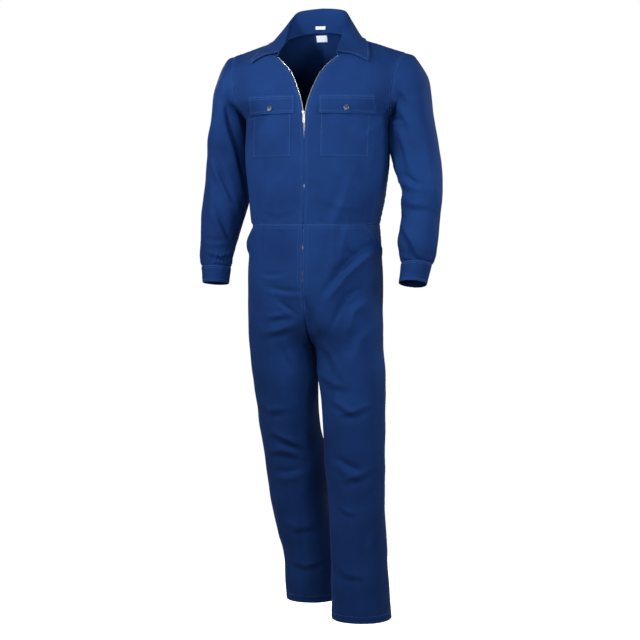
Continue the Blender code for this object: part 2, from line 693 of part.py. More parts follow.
def trouser_grid(side, half):
    """The outer face of a trouser front or back, as far as all its seams."""
    return grid(new_surface(), trimmed(trouser_form(side, half)), PANEL_CELLS, LEG_CELLS)


def make_trouser_front(name, side, finish):
    """A trouser front, cut away at the mouth of the hip pocket."""
    work = trouser_grid(side, -1)
    cut(work, *mouth_cut(side))
    return cloth_wall(name, work, finish)


def make_hip_pocket(name, side, finish):
    """The facing that fills the pocket mouth, one wall behind the front."""
    work = trouser_grid(side, -1)
    upper, away = mouth_cut(side)
    cut(work, upper - away * FACING_LAP, -away)
    cut(work, (0, 0, WAIST_Z - MOUTH_DROP - FACING_LAP), (0, 0, -1))
    lift(work, -(WALL + GAP))
    return cloth_wall(name, work, finish)


# ================================================================ chest pockets
def patch(name, side, x, z, width, depth, out, finish):
    """A piece cut as a rectangle from the shape of a front, and moved out by out plus its own wall."""
    work = front_grid(side)
    middle = lean_at(z)
    cut(work, (middle + side * x, 0, 0), (-side, 0, 0))
    cut(work, (middle + side * (x + width), 0, 0), (side, 0, 0))
    cut(work, (0, 0, z), (0, 0, 1))
    cut(work, (0, 0, z - depth), (0, 0, -1))
    lift(work, out + POCKET_WALL)
    return cloth_wall(name, work, finish, POCKET_WALL)


def make_button(name, work, start, way, out, radius, finish):
    """A round button with a raised rim, lying over the outer face of the cloth it is sewn to."""
    skin = BVHTree.FromBMesh(work)
    work.free()
    spot, up, _, _ = skin.ray_cast(start, way)
    up = up if up.dot(way) < 0 else -up
    disc = bmesh.new()
    profile = ((0, 0), (.80, 0), (1, .35), (1, .75), (.90, 1), (.72, .72), (0, .62))
    verts = [disc.verts.new((reach * radius, 0, rise * BUTTON_THICKNESS)) for reach, rise in profile]
    edges = [disc.edges.new(pair) for pair in zip(verts, verts[1:])]
    bmesh.ops.spin(disc, geom=verts + edges, cent=(0, 0, 0), axis=(0, 0, 1), angle=2 * pi, steps=12,
                   use_merge=True)
    bmesh.ops.remove_doubles(disc, verts=disc.verts, dist=1e-6)
    bmesh.ops.recalc_face_normals(disc, faces=disc.faces)
    turn = up.to_track_quat("Z", "Y").to_matrix().to_4x4()
    bmesh.ops.transform(disc, matrix=Matrix.Translation(spot + up * out) @ turn, verts=disc.verts)
    return keep(name, disc, finish)


# ================================================================ zip
def zip_path(side):
    """Rows of the front edge from the zip's lower stop to the end of the lapel: points at and near it."""
    below, above = trimmed(trouser_form(side, -1)), front_place(side)
    first = 1 / PANEL_CELLS
    path = [(below(0, k / LEG_CELLS)[0], below(first, k / LEG_CELLS)[0]) for k in range(LEG_CELLS + 1)]
    path = [pair for pair in path if pair[0].z > ZIP_STOP_Z]
    rows = TOP_CELLS[-1]
    return path + [(above(0, k / rows)[0], above(first, k / rows)[0]) for k in range(TOP_CELLS[2] + 1)]


def make_zip_half(name, side, finish):
    """One half of the zip: tape under the front edge, teeth standing past it into the opening."""
    path = zip_path(side)
    rows = len(path) - 1

    def place(u, v):
        row = round(v * rows)
        edge, inside = path[row]
        across = (inside - edge).normalized()
        climb = path[min(row + 1, rows)][0] - path[max(row - 1, 0)][0]
        out = across.cross(climb).normalized() * side
        point = edge + across * between(0, ZIP_TAPE, u) - out * (WALL + ZIP_CLEARANCE)
        if u < 0.25:
            reach = min(abs(edge.x - lean_at(edge.z)) - GAP / 2, ZIP_TEETH)
            out = Vector((0, out.y, out.z)).normalized()
            point.x = edge.x - side * reach
        return point, out

    return cloth_wall(name, grid(new_surface(), place, 2, rows), finish, ZIP_THICKNESS)


def add_box(work, low, high):
    """Adds a box between two corners."""
    size = Vector(high) - Vector(low)
    centre = (Vector(high) + Vector(low)) / 2
    bmesh.ops.create_cube(work, size=1, matrix=Matrix.Translation(centre) @ Matrix.Diagonal((*size, 1)))


def box_object(name, low, high, finish):
    """A box as an object of its own."""
    work = bmesh.new()
    add_box(work, low, high)
    return keep(name, work, finish, smooth_shading=False)


def join_solids(base, others):
    """Unites solids into the base object and hides the ones used."""
    for other in others:
        union = base.modifiers.new("union", "BOOLEAN")
        union.operation = "UNION"
        union.object = other
        other.hide_render = True
        other.display_type = "WIRE"


def slider_faces():
    """The y of the cloth in front of the slider's teeth, and of the teeth's rear face."""
    place = front_place(1)
    near = [place(u / 40, v / 72)[0] for u in range(4) for v in range(20, 60)]
    near = [spot for spot in near if abs(spot.z - SLIDER_Z) < SLIDER_LENGTH]
    behind = WALL + ZIP_CLEARANCE + ZIP_THICKNESS
    return min(spot.y for spot in near), max(spot.y for spot in near) + behind


def make_slider(finish):
    """The zip's slider: two plates round the teeth, a wedge between them and a bridge for the pull."""
    cloth_y, teeth_y = slider_faces()
    centre = lean_at(SLIDER_Z)
    front = cloth_y - 2 * GAP
    back = teeth_y + 2 * GAP
    half = SLIDER_WIDTH / 2
    top, bottom = SLIDER_Z + SLIDER_LENGTH * .5, SLIDER_Z - SLIDER_LENGTH * .5
    plate = front - SLIDER_PLATE
    axis_y, axis_z = pull_axis()
    inner, outer = PULL_THICKNESS / 2 + 2 * GAP, PULL_THICKNESS / 2 + 2 * GAP + BRIDGE_WALL
    legs = BRIDGE_SPAN / 2
    body = box_object("zip_slider", (centre - half, plate, bottom), (centre + half, front, top), finish)
    others = [
        box_object("slider_rear", (centre - half, back, bottom), (centre + half, back + SLIDER_PLATE, top),
                   finish),
        box_object("slider_wedge", (centre - WEDGE / 2, plate + OVERLAP, top - WEDGE_LENGTH),
                   (centre + WEDGE / 2, back + OVERLAP, top), finish),
        box_object("bridge_bar", (centre - BRIDGE_WIDTH / 2, axis_y - outer, axis_z - legs),
                   (centre + BRIDGE_WIDTH / 2, axis_y - inner, axis_z + legs), finish),
    ]
    for number, end in enumerate((-1, 1)):
        low, high = sorted((axis_z + end * legs, axis_z + end * (legs - BRIDGE_WALL)))
        others.append(box_object("bridge_leg_%d" % number, (centre - BRIDGE_WIDTH / 2, axis_y - outer, low),
                                 (centre + BRIDGE_WIDTH / 2, plate + OVERLAP, high), finish))
    join_solids(body, others)
    return body


def pull_axis():
    """Where the pull turns: the y and z of its cross bar, under the slider's bridge."""
    plate = slider_faces()[0] - 2 * GAP - SLIDER_PLATE
    return plate - 2 * GAP - PULL_THICKNESS / 2, SLIDER_Z + SLIDER_LENGTH * .12


def make_pull(finish):
    """The pull tab: a plate whose cross bar lies under the bridge, with a hole near its lower end."""
    axis_y, axis_z = pull_axis()
    work = bmesh.new()
    half, end, bar = PULL_WIDTH / 2, PULL_LENGTH, PULL_THICKNESS / 2
    neck, (upper, lower), corner = half * PULL_NECK, PULL_SHOULDER, -end + PULL_CORNER
    edge = [(neck, bar), (neck, -upper), (half, -lower), (half, corner), (half * .7, -end)]
    outline = [(-neck, bar)] + edge + [(-x, z) for x, z in edge[:0:-1]]
    face = work.faces.new([work.verts.new((x, -bar, z)) for x, z in outline])
    bmesh.ops.recalc_face_normals(work, faces=[face])
    depth = bmesh.ops.extrude_face_region(work, geom=[face])
    moved = [item for item in depth["geom"] if isinstance(item, bmesh.types.BMVert)]
    bmesh.ops.translate(work, verts=moved, vec=(0, 2 * bar, 0))
    bmesh.ops.recalc_face_normals(work, faces=work.faces)
    made = keep("zip_pull", work, finish, smooth_shading=False)
    made.location = (lean_at(SLIDER_Z), axis_y, axis_z)
    through = SLIDER_WIDTH
    eye_width, eye_low, eye_high = PULL_EYE
    window = box_object("pull_window", (-WINDOW_WIDTH / 2, -through, -WINDOW_DEPTH),
                        (WINDOW_WIDTH / 2, through, -bar), finish)
    eye = box_object("pull_eye", (-eye_width / 2, -through, -end + eye_low),
                     (eye_width / 2, through, -end + eye_high), finish)
    for tool in (window, eye):
        tool.parent = made
        hole = made.modifiers.new("hole", "BOOLEAN")
        hole.operation = "DIFFERENCE"
        hole.object = tool
        tool.hide_render = True
        tool.display_type = "WIRE"
    return made


# ================================================================ labels
def make_label(name, work, size, out, finish):
    """A plain label in the back of the neck, cut from the surface that it is sewn to."""
    width, height, z = size
    middle = lean_at(z) + LABEL_X
    cut(work, (middle - width / 2, 0, 0), (-1, 0, 0))
    cut(work, (middle + width / 2, 0, 0), (1, 0, 0))
    cut(work, (0, 0, z + height / 2), (0, 0, 1))
    cut(work, (0, 0, z - height / 2), (0, 0, -1))
    lift(work, out)
    return cloth_wall(name, work, finish, LABEL_WALL)


# ================================================================ the suit
def clear_scene():
    """Removes every object that is already there."""
    for old in list(bpy.data.objects):
        bpy.data.objects.remove(old, do_unlink=True)


def main():
    """Builds every piece."""
    clear_scene()
    blue = material("royal_blue_twill", ROYAL_BLUE, 0.85)
    button = material("dark_button", DARK_BUTTON, 0.45)
    nickel = material("nickel", NICKEL, 0.30, 1.0)
    label = material("label", LABEL_WHITE, 0.80)

    cloth_wall("back", back_grid(), blue)
    cloth_wall("collar", collar_grid(), blue)
    for name, side, rings, shape in (("left", 1, LEFT_ARM, LEFT_CUFF),
                                     ("right", -1, RIGHT_ARM, RIGHT_CUFF)):
        cloth_wall("front_" + name, front_grid(side), blue)
        make_trouser_front("trouser_front_" + name, side, blue)
        cloth_wall("trouser_back_" + name, trouser_grid(side, 1), blue)
        make_hip_pocket("hip_pocket_" + name, side, blue)
        cloth_wall("sleeve_" + name, sleeve_grid(side, rings), blue)
        cuff = cuff_form(side, rings[-1], shape)
        cloth_wall("cuff_" + name, grid(new_surface(), cuff.place, 20, 2), blue)
        spot, out = cuff.place(1 - CUFF_LAP / 2 / (360 + CUFF_LAP), .5)
        make_button("cuff_button_" + name, grid(new_surface(), cuff.place, 20, 2), spot + out * .05, -out,
                    GAP + BUTTON_CLEARANCE, CUFF_BUTTON_RADIUS, button)

        patch("chest_pocket_" + name, side, POCKET_INNER_X[side], POCKET_TOP_Z, POCKET_WIDTH,
              POCKET_TOP_Z - POCKET_BOTTOM_Z, GAP, blue)
        over = POCKET_WALL + 2 * GAP
        patch("chest_flap_" + name, side, FLAP_INNER_X[side], FLAP_TOP_Z, FLAP_WIDTH, FLAP_DEPTH, over, blue)
        button_x = lean_at(FLAP_TOP_Z) + side * (FLAP_INNER_X[side] + FLAP_WIDTH / 2)
        button_z = FLAP_TOP_Z - FLAP_DEPTH * FLAP_BUTTON_AT
        make_button("flap_button_" + name, front_grid(side), Vector((button_x, -1, button_z)),
                    Vector((0, 1, 0)), over + POCKET_WALL + 2 * GAP + BUTTON_CLEARANCE, BUTTON_RADIUS, button)
        make_zip_half("zip_" + name, side, nickel)
    make_slider(nickel)
    make_pull(nickel)
    stand = collar_grid()
    cut(stand, (0, STAND_BACK_Y, 0), (0, 1, 0))
    make_label("neck_label", stand, NECK_LABEL, GAP + LABEL_WALL, label)
    make_label("size_label", back_grid(), SIZE_LABEL, -WALL - GAP, label)


main()
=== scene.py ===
"""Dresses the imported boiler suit: cloth with its creases and sewing, zip, buttons, labels, floor and light.

Metres, +Z up, the front faces -Y and +X is the wearer's left. Left and right are the wearer's. The seam
rows, leg rings, arm rings and collar sections are those of the solids, so each dressed piece lies where its
solid does. Every cloth piece is a lattice of points on such a surface, raised or lowered by its creases, and
is then given its ply.
"""
from __future__ import annotations

import logging
from dataclasses import dataclass, field
from enum import Enum
from math import acos, cos, pi, radians, sin
from typing import Iterable, NamedTuple, Protocol

import bmesh
import bpy
import numpy as np
from mathutils import Matrix, Vector
from mathutils.bvhtree import BVHTree

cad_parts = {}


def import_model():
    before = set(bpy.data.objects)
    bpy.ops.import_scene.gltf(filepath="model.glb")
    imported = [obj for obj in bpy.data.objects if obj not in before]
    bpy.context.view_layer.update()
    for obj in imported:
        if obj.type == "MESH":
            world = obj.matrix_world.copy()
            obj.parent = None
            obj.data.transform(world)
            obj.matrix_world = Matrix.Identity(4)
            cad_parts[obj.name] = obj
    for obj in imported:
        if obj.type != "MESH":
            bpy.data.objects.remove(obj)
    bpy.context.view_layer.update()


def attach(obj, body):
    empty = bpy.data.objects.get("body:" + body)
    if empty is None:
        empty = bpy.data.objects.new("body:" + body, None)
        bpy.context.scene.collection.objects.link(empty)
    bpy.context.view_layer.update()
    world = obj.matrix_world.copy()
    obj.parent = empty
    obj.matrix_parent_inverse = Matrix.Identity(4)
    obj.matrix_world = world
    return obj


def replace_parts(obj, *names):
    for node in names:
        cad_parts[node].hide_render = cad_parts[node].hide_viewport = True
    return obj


Array = np.ndarray
log = logging.getLogger("boiler_suit")

# ---------------------------------------------------------------- sizes shared with the solids, metres
WAIST_Z = -0.482
WAIST_X = 0.1680
ZIP_STOP_Z = -0.638
SLIDER_Z = -0.205
ARMPIT_Z = -0.216
PANEL_STEP = 0.004           # step of u and v over which a surface's direction is read
BEFORE_Y = -0.4              # a plane well in front of the suit, from which pieces are laid on
AHEAD = (0, 1, 0)            # the way from there to the suit
TRUNK_MIDDLE_Y = 0.005
TRUNK_HALF_WIDTH = 0.17
TRUNK_HALF_DEPTH = 0.135


class Row(NamedTuple):
    """A seam row: the inner seam and the pull of the curve that leaves it, then the outer seam likewise."""

    in_x: float
    in_y: float
    in_z: float
    in_dx: float
    in_dy: float
    in_dz: float
    out_x: float
    out_y: float
    out_z: float
    out_dx: float
    out_dy: float
    out_dz: float


FRONT_ROWS = (
    Row(.0002, -.135, WAIST_Z, .098, 0, 0, WAIST_X, .015, WAIST_Z, 0, -.088, 0),
    Row(.0002, -.139, -.410, .105, 0, 0, .179, .015, -.410, 0, -.092, 0),
    Row(.0002, -.141, -.330, .112, 0, 0, .188, .015, -.330, 0, -.092, 0),
    Row(.0004, -.140, -.270, .112, 0, 0, .189, .018, -.275, 0, -.088, 0),
    Row(.0037, -.1375, -.205, .100, .002, 0, .190, .022, ARMPIT_Z, 0, -.070, .010),
    Row(.0167, -.130, -.150, .085, .004, .002, .200, -.042, -.172, -.030, -.050, .002),
    Row(.0416, -.116, -.096, .065, .004, .006, .208, -.050, -.132, -.045, -.040, .006),
    Row(.0800, -.098, -.057, .045, .004, .004, .213, -.040, -.095, -.050, -.028, .012),
    Row(.0920, -.045, -.040, .040, -.003, .000, .220, -.008, -.064, -.050, -.010, .014),
    Row(.0820, .030, -.002, .045, .003, -.004, .229, .033, -.042, -.050, 0, .016),
)
BACK_ROWS = (
    Row(0, .118, WAIST_Z, .098, 0, 0, WAIST_X, .015, WAIST_Z, 0, .060, 0),
    Row(0, .122, -.410, .105, 0, 0, .179, .015, -.410, 0, .062, 0),
    Row(0, .134, -.330, .110, 0, 0, .188, .015, -.330, 0, .070, 0),
    Row(0, .143, -.260, .110, 0, 0, .189, .018, -.275, 0, .075, 0),
    Row(0, .146, -.190, .105, 0, 0, .190, .022, ARMPIT_Z, 0, .060, .010),
    Row(0, .140, -.120, .100, 0, 0, .203, .088, -.166, -.020, .040, 0),
    Row(0, .122, -.060, .095, 0, 0, .210, .098, -.125, -.040, .030, .010),
    Row(0, .100, -.014, .085, 0, 0, .217, .085, -.086, -.045, .020, .015),
    Row(0, .080, .018, .075, .004, -.004, .224, .062, -.058, -.050, .008, .016),
    Row(.050, .064, .013, .055, 0, -.006, .228, .047, -.047, -.050, .003, .014),
    Row(.082, .030, -.002, .045, .003, -.004, .229, .033, -.042, -.050, 0, .016),
)
SEAT_FRONT_ROWS = (
    Row(.0035, .004, -.802, .012, -.140, -.004, .1740, .010, -.802, 0, -.138, 0),
    Row(.0020, -.055, -.785, .036, -.085, -.010, .1750, .010, -.778, 0, -.135, 0),
    Row(.0006, -.100, -.747, .062, -.045, -.006, .1755, .012, -.747, 0, -.125, 0),
    Row(.0002, -.127, -.690, .080, -.016, 0, .1755, .013, -.690, 0, -.110, 0),
    Row(.0002, -.137, -.600, .098, 0, 0, .1755, .015, -.600, 0, -.095, 0),
    FRONT_ROWS[0],
)
SEAT_BACK_ROWS = (
    Row(.0035, .004, -.802, .012, .130, -.004, .1740, .010, -.802, 0, .128, 0),
    Row(.0020, .060, -.789, .034, .080, -.010, .1750, .010, -.778, 0, .126, 0),
    Row(.0006, .107, -.752, .060, .042, -.006, .1755, .012, -.747, 0, .120, 0),
    Row(.0002, .136, -.690, .084, .014, 0, .1755, .013, -.690, 0, .105, 0),
    Row(.0002, .138, -.600, .098, 0, 0, .1755, .015, -.600, 0, .085, 0),
    Row(.0002, .118, WAIST_Z, .098, 0, 0, WAIST_X, .015, WAIST_Z, 0, .060, 0),
)


class LegRing(NamedTuple):
    """A ring of a trouser leg: its middle, half its width, its depth to front and back, and its turn."""

    x: float
    y: float
    z: float
    half_width: float
    front: float
    back: float
    turn: float


LEFT_LEG = (
    LegRing(.129, -.035, -1.500, .077, .079, .077, 0),
    LegRing(.122, -.034, -1.355, .0735, .076, .075, 0),
    LegRing(.115, -.031, -1.215, .0715, .075, .075, 0),
    LegRing(.1095, -.028, -1.105, .0765, .079, .077, 0),
    LegRing(.1040, -.022, -.950, .0820, .090, .085, 0),
    LegRing(.0965, -.010, -.865, .0875, .100, .097, 0),
)
RIGHT_LEG = (
    LegRing(-.0265, .090, -1.480, .0710, .080, .080, -14),
    LegRing(-.0335, .088, -1.360, .0725, .078, .079, -12),
    LegRing(-.0465, .081, -1.300, .0745, .077, .079, -10),
    LegRing(-.0605, .070, -1.215, .0765, .077, .079, -8),
    LegRing(-.0655, .055, -1.105, .0835, .081, .080, -6),
    LegRing(-.0770, .038, -1.025, .0795, .086, .082, -4),
    LegRing(-.0815, .024, -.950, .0805, .092, .087, -2),
    LegRing(-.0850, .011, -.865, .0855, .100, .097, 0),
)


class ArmRing(NamedTuple):
    """A ring of a sleeve: its middle, its reach inwards and outwards, its depth, and how it is turned.

    tilt lifts the outer side, pitch swings the arm forwards, and free is how far the ring has left the
    armhole's own outline.
    """

    x: float
    y: float
    z: float
    inner: float
    outer: float
    deep: float
    tilt: float
    pitch: float
    free: float


LEFT_ARM = (
    ArmRing(.226, .030, -.132, .078, .078, .078, 58, 0, .35),
    ArmRing(.238, .030, -.165, .050, .064, .078, 30, 0, .75),
    ArmRing(.2465, .030, -.215, .0525, .056, .076, 10, 0, 1),
    ArmRing(.2540, .028, -.270, .0600, .059, .073, 0, 4, 1),
    ArmRing(.2630, .018, -.335, .0615, .062, .070, 0, 8, 1),
    ArmRing(.2725, .006, -.376, .0540, .057, .067, 0, 12, 1),
    ArmRing(.2790, -.002, -.402, .0510, .0515, .065, 0, 14, 1),
    ArmRing(.2780, -.008, -.430, .0525, .0525, .063, 0, 15, 1),
    ArmRing(.2770, -.016, -.472, .0500, .0500, .060, 0, 15, 1),
    ArmRing(.2740, -.028, -.523, .0511, .0511, .057, 0, 15, 1),
    ArmRing(.2730, -.034, -.552, .0480, .0480, .054, 0, 15, 1),
    ArmRing(.2725, -.039, -.571, .0420, .0430, .049, 0, 15, 1),
    ArmRing(.2710, -.0425, -.583, .0370, .0390, .0445, 0, 15, 1),
)
RIGHT_ARM = (
    ArmRing(.222, .030, -.132, .076, .068, .080, 60, 0, .35),
    ArmRing(.233, .031, -.165, .045, .050, .082, 30, 0, .75),
    ArmRing(.241, .033, -.215, .0470, .046, .083, 8, 0, 1),
    ArmRing(.2450, .035, -.265, .0510, .052, .080, 0, 0, 1),
    ArmRing(.2465, .035, -.313, .0540, .0540, .076, 0, 0, 1),
    ArmRing(.2465, .031, -.366, .0570, .0580, .072, 0, 3, 1),
    ArmRing(.2498, .025, -.419, .0610, .0610, .067, 0, 6, 1),
    ArmRing(.2582, .015, -.471, .0557, .0557, .064, 0, 8, 1),
    ArmRing(.2630, .004, -.524, .0476, .0476, .058, 0, 8, 1),
    ArmRing(.2672, -.006, -.565, .0415, .0415, .052, 0, 8, 1),
    ArmRing(.2668, -.012, -.594, .0372, .0372, .0455, 0, 8, 1),
)
LEFT_CUFF_END = ArmRing(.2640, -.0570, -.6330, .0345, .0345, .0425, 0, 15, 1)
RIGHT_CUFF_END = ArmRing(.2662, -.0190, -.6370, .0330, .0330, .0430, 0, 8, 1)
CUFF_START = 250.0           # degrees round the wrist at which a cuff begins
CUFF_LAP = 28.0              # degrees by which it laps over itself


class CollarRow(NamedTuple):
    """A section of the collar: a point of its roll, then one of its outer edge."""

    roll_x: float
    roll_y: float
    roll_z: float
    edge_x: float
    edge_y: float
    edge_z: float


COLLAR_ROWS = (
    CollarRow(0, .070, .0785, 0, .118, .020),
    CollarRow(.034, .067, .0765, .048, .110, .016),
    CollarRow(.0635, .058, .0690, .090, .088, .006),
    CollarRow(.0745, .032, .0450, .1190, .044, -.0100),
    CollarRow(.0750, -.006, .0130, .1370, -.002, -.0300),
    CollarRow(.0735, -.046, -.0200, .1480, -.046, -.0560),
    CollarRow(.0790, -.096, -.0470, .1500, -.078, -.0740),
)


class Lean(NamedTuple):
    """Sideways shift of the trunk at a height: the figure rests on one leg."""

    z: float
    x: float


LEAN = (Lean(-.80, -.0015), Lean(-.74, -.0035), Lean(-.64, -.0050), Lean(-.485, -.0030), Lean(-.41, .0005),
        Lean(-.33, .0015), Lean(-.20, .0005), Lean(0, .000))


class Side(Enum):
    """A side of the wearer, with its sign along X."""

    LEFT = 1
    RIGHT = -1

    @property
    def word(self) -> str:
        """The side as it stands in piece names."""
        return self.name.lower()


LEGS = {Side.LEFT: LEFT_LEG, Side.RIGHT: RIGHT_LEG}
ARMS = {Side.LEFT: LEFT_ARM, Side.RIGHT: RIGHT_ARM}
CUFF_ENDS = {Side.LEFT: LEFT_CUFF_END, Side.RIGHT: RIGHT_CUFF_END}


# ================================================================ curves
def hermite(marks: Array, values: Array, t: Array, corner: int | None = None) -> Array:
    """The smooth curve through values at their marks.

    Args:
        marks: Rising stations of the values.
        values: One point per mark, or one per mark and reading.
        t: Where to read the curve.
        corner: Number of the mark at which it may turn sharply.

    Returns:
        One point per reading.
    """
    low = np.clip(np.searchsorted(marks, t, side="right") - 1, 0, len(marks) - 2)
    high = low + 1
    span = marks[high] - marks[low]
    s = ((t - marks[low]) / span)[:, None]

    def pick(k: Array) -> Array:
        return values[k] if values.ndim == 2 else values[k, np.arange(len(k))]

    def slope(k: Array) -> Array:
        before, after = np.maximum(k - 1, 0), np.minimum(k + 1, len(marks) - 1)
        if corner is not None:
            before, after = np.where(k == corner, low, before), np.where(k == corner, high, after)
        return (pick(after) - pick(before)) * (span / (marks[after] - marks[before]))[:, None]

    return (pick(low) * (2 * s ** 3 - 3 * s ** 2 + 1) + slope(low) * (s ** 3 - 2 * s ** 2 + s)
            + pick(high) * (3 * s ** 2 - 2 * s ** 3) + slope(high) * (s ** 3 - s ** 2))


def bezier(points: Iterable[Array], t: Array) -> Array:
    """The cubic curves of four control points each, read at t."""
    a, b, c, d = points
    s = t[:, None]
    r = 1 - s
    return a * r ** 3 + b * (3 * r * r * s) + c * (3 * r * s * s) + d * s ** 3


def lean_at(z: Array | float) -> Array:
    """Sideways shift of the trunk at height z."""
    rows = np.array(LEAN)
    heights = np.clip(np.atleast_1d(np.asarray(z, float)), rows[0, 0], rows[-1, 0])
    return hermite(rows[:, 0], rows[:, 1:], heights)[:, 0]


def unit(vectors: Array) -> Array:
    """The vectors at length one."""
    return vectors / np.maximum(np.linalg.norm(vectors, axis=-1, keepdims=True), 1e-12)


def step(t: Array, low: float, high: float) -> Array:
    """A soft step from 0 at low to 1 at high."""
    s = np.clip((t - low) / (high - low), 0, 1)
    return s * s * (3 - 2 * s)


def run_lengths(points: Array) -> Array:
    """Distance along the points, in metres."""
    return np.concatenate([[0], np.cumsum(np.linalg.norm(np.diff(points, axis=0), axis=1))])


def arc_marks(points: Array) -> Array:
    """Distance along the points, from 0 to 1."""
    lengths = run_lengths(points)
    return lengths / lengths[-1]


def read_along(marks: Array, values: Array, at: Array | float) -> Array:
    """Points or directions, read at stations between their rising marks."""
    return np.stack([np.interp(at, marks, values[:, axis]) for axis in range(3)], -1)


def ways_along(marks: Array, points: Array, at: Array) -> Array:
    """The directions along a line at some stations."""
    return unit(read_along(marks, points, at + .001) - read_along(marks, points, at - .001))


# ================================================================ surfaces of the pattern pieces
class Surface(Protocol):
    """A sheet that can be read at arrays of (u, v)."""

    outward: float

    def at(self, u: Array, v: Array) -> Array:
        """Points of the sheet."""


def direction(surface: Surface, u: Array, v: Array) -> Array:
    """The directions out of the garment at (u, v)."""
    across = surface.at(u + PANEL_STEP, v) - surface.at(u - PANEL_STEP, v)
    along = surface.at(u, v + PANEL_STEP) - surface.at(u, v - PANEL_STEP)
    return unit(np.cross(across, along)) * surface.outward


def seam_controls(row: Row, side: Side) -> Array:
    """The four control points of a seam row on one side."""
    sign = side.value
    start = np.array((sign * row.in_x + lean_at(row.in_z)[0], row.in_y, row.in_z))
    end = np.array((sign * row.out_x + lean_at(row.out_z)[0], row.out_y, row.out_z))
    leave = np.array((sign * row.in_dx, row.in_dy, row.in_dz))
    arrive = np.array((sign * row.out_dx, row.out_dy, row.out_dz))
    return np.array((start, start + leave, end + arrive, end))


def leg_controls(ring: LegRing, side: Side, half: int) -> Array:
    """The four control points of half a leg ring, from inseam to side seam: half -1 front, 1 back."""
    turn = np.array(Matrix.Rotation(radians(ring.turn), 3, "Z"))
    centre = np.array((ring.x, ring.y, ring.z))
    across = turn @ (side.value * ring.half_width, 0, 0)
    reach = turn @ (0, half * (ring.front if half < 0 else ring.back) * 4 / 3, 0)
    return np.array((centre - across, centre - across + reach, centre + across + reach, centre + across))


@dataclass
class Panel:
    """A body panel: cubic curves from its inner seam to its outer seam, stacked upwards."""

    controls: Array
    outward: float
    corners: tuple[int | None, int | None]
    marks: Array = field(init=False)

    def __post_init__(self) -> None:
        """Heights go by distance along the outer seam."""
        self.marks = arc_marks(self.controls[:, 3])

    def at(self, u: Array, v: Array) -> Array:
        """Points of the panel."""
        u, v = np.clip(u, 0, 1), np.clip(v, 0, 1)
        curves = (hermite(self.marks, self.controls[:, k], v, self.corners[k // 2]) for k in range(4))
        return bezier(curves, u)


def pit_of(rows: tuple[Row, ...]) -> int:
    """The number of the row that ends at the armpit."""
    return next(k for k, row in enumerate(rows) if row.out_z == ARMPIT_Z)


def top_panel(side: Side, front: bool) -> Panel:
    """A front of the top, or half its back."""
    rows = FRONT_ROWS if front else BACK_ROWS
    controls = np.array([seam_controls(row, side) for row in rows])
    return Panel(controls, side.value if front else -side.value, (None, pit_of(rows)))


def trouser_panel(side: Side, half: int) -> Panel:
    """A trouser front (half -1) or back (half 1), from the hem up to the waist seam."""
    leg = LEGS[side]
    seat = SEAT_FRONT_ROWS if half < 0 else SEAT_BACK_ROWS
    stack = [leg_controls(ring, side, half) for ring in leg] + [seam_controls(row, side) for row in seat]
    return Panel(np.array(stack), -side.value * half, (len(leg), None))


def ring_points(ring: ArmRing, side: Side, angle: Array) -> Array:
    """Points of an arm ring. Angle 0 is the underarm, a quarter turn on is the front."""
    tilt, pitch = radians(ring.tilt), radians(ring.pitch)
    outwards = np.array((side.value * cos(tilt), 0, sin(tilt)))
    forwards = np.array((0, -cos(pitch), sin(pitch)))
    centre = np.array((side.value * ring.x, ring.y, ring.z))
    reach = np.where(np.cos(angle) > 0, ring.inner, ring.outer)
    aside = outwards * (reach * np.cos(angle))[:, None]
    return centre - aside + forwards * (ring.deep * np.sin(angle))[:, None]


@dataclass
class SleeveSurface:
    """A sleeve: u round the arm from the underarm seam, v from the armhole to the cuff."""

    side: Side
    rings: tuple[ArmRing, ...]
    hub: tuple[float, float, float] = (.205, .030, -.125)    # middle of the armhole, on the left
    yoke_at: float = 14 / 18     # share of the armhole at which the shoulder's last row begins
    leave_out: float = .93       # how far the sleeve's head leaves the armhole outwards
    leave_up: float = .15        # and upwards, at the underarm
    leave_fall: float = .20      # by which that sinks, going round
    outward: float = field(init=False)

    def __post_init__(self) -> None:
        """Reads the panels whose edges form the armhole."""
        sign = self.side.value
        self.outward = -sign
        self.panels = {front: top_panel(self.side, front) for front in (True, False)}
        centres = [np.array(self.hub) * (sign, 1, 1)] + [np.array((sign * r.x, r.y, r.z)) for r in self.rings]
        self.marks = arc_marks(np.array(centres))
        self.away = [float(np.linalg.norm(centre - centres[0])) for centre in centres[1:]]

    def armhole(self, angle: Array) -> Array:
        """Points of the armhole's edge, by the same angle as a ring's."""
        points = np.zeros((len(angle), 3))
        for front, panel in self.panels.items():
            rows = FRONT_ROWS if front else BACK_ROWS
            share = angle / pi if front else (2 * pi - angle) / pi
            heights = np.interp(.5 + .5 * share, (.5, self.yoke_at, 1),
                                (panel.marks[pit_of(rows)], panel.marks[-3], 1))
            chosen = (angle <= pi) == front
            points[chosen] = panel.at(np.ones(chosen.sum()), heights[chosen])
        return points

    def at(self, u: Array, v: Array) -> Array:
        """Points of the sleeve."""
        angle = 2 * pi * (u % 1.0)
        edge = self.armhole(angle)
        leave = np.stack([np.full(len(u), self.side.value * self.leave_out), np.zeros(len(u)),
                          self.leave_up - self.leave_fall * (1 - np.cos(angle))], 1)
        column = [edge]
        for ring, away in zip(self.rings, self.away):
            follow = edge + leave * away
            column.append(follow + (ring_points(ring, self.side, angle) - follow) * ring.free)
        return hermite(self.marks, np.array(column), np.clip(v, 0, 1))


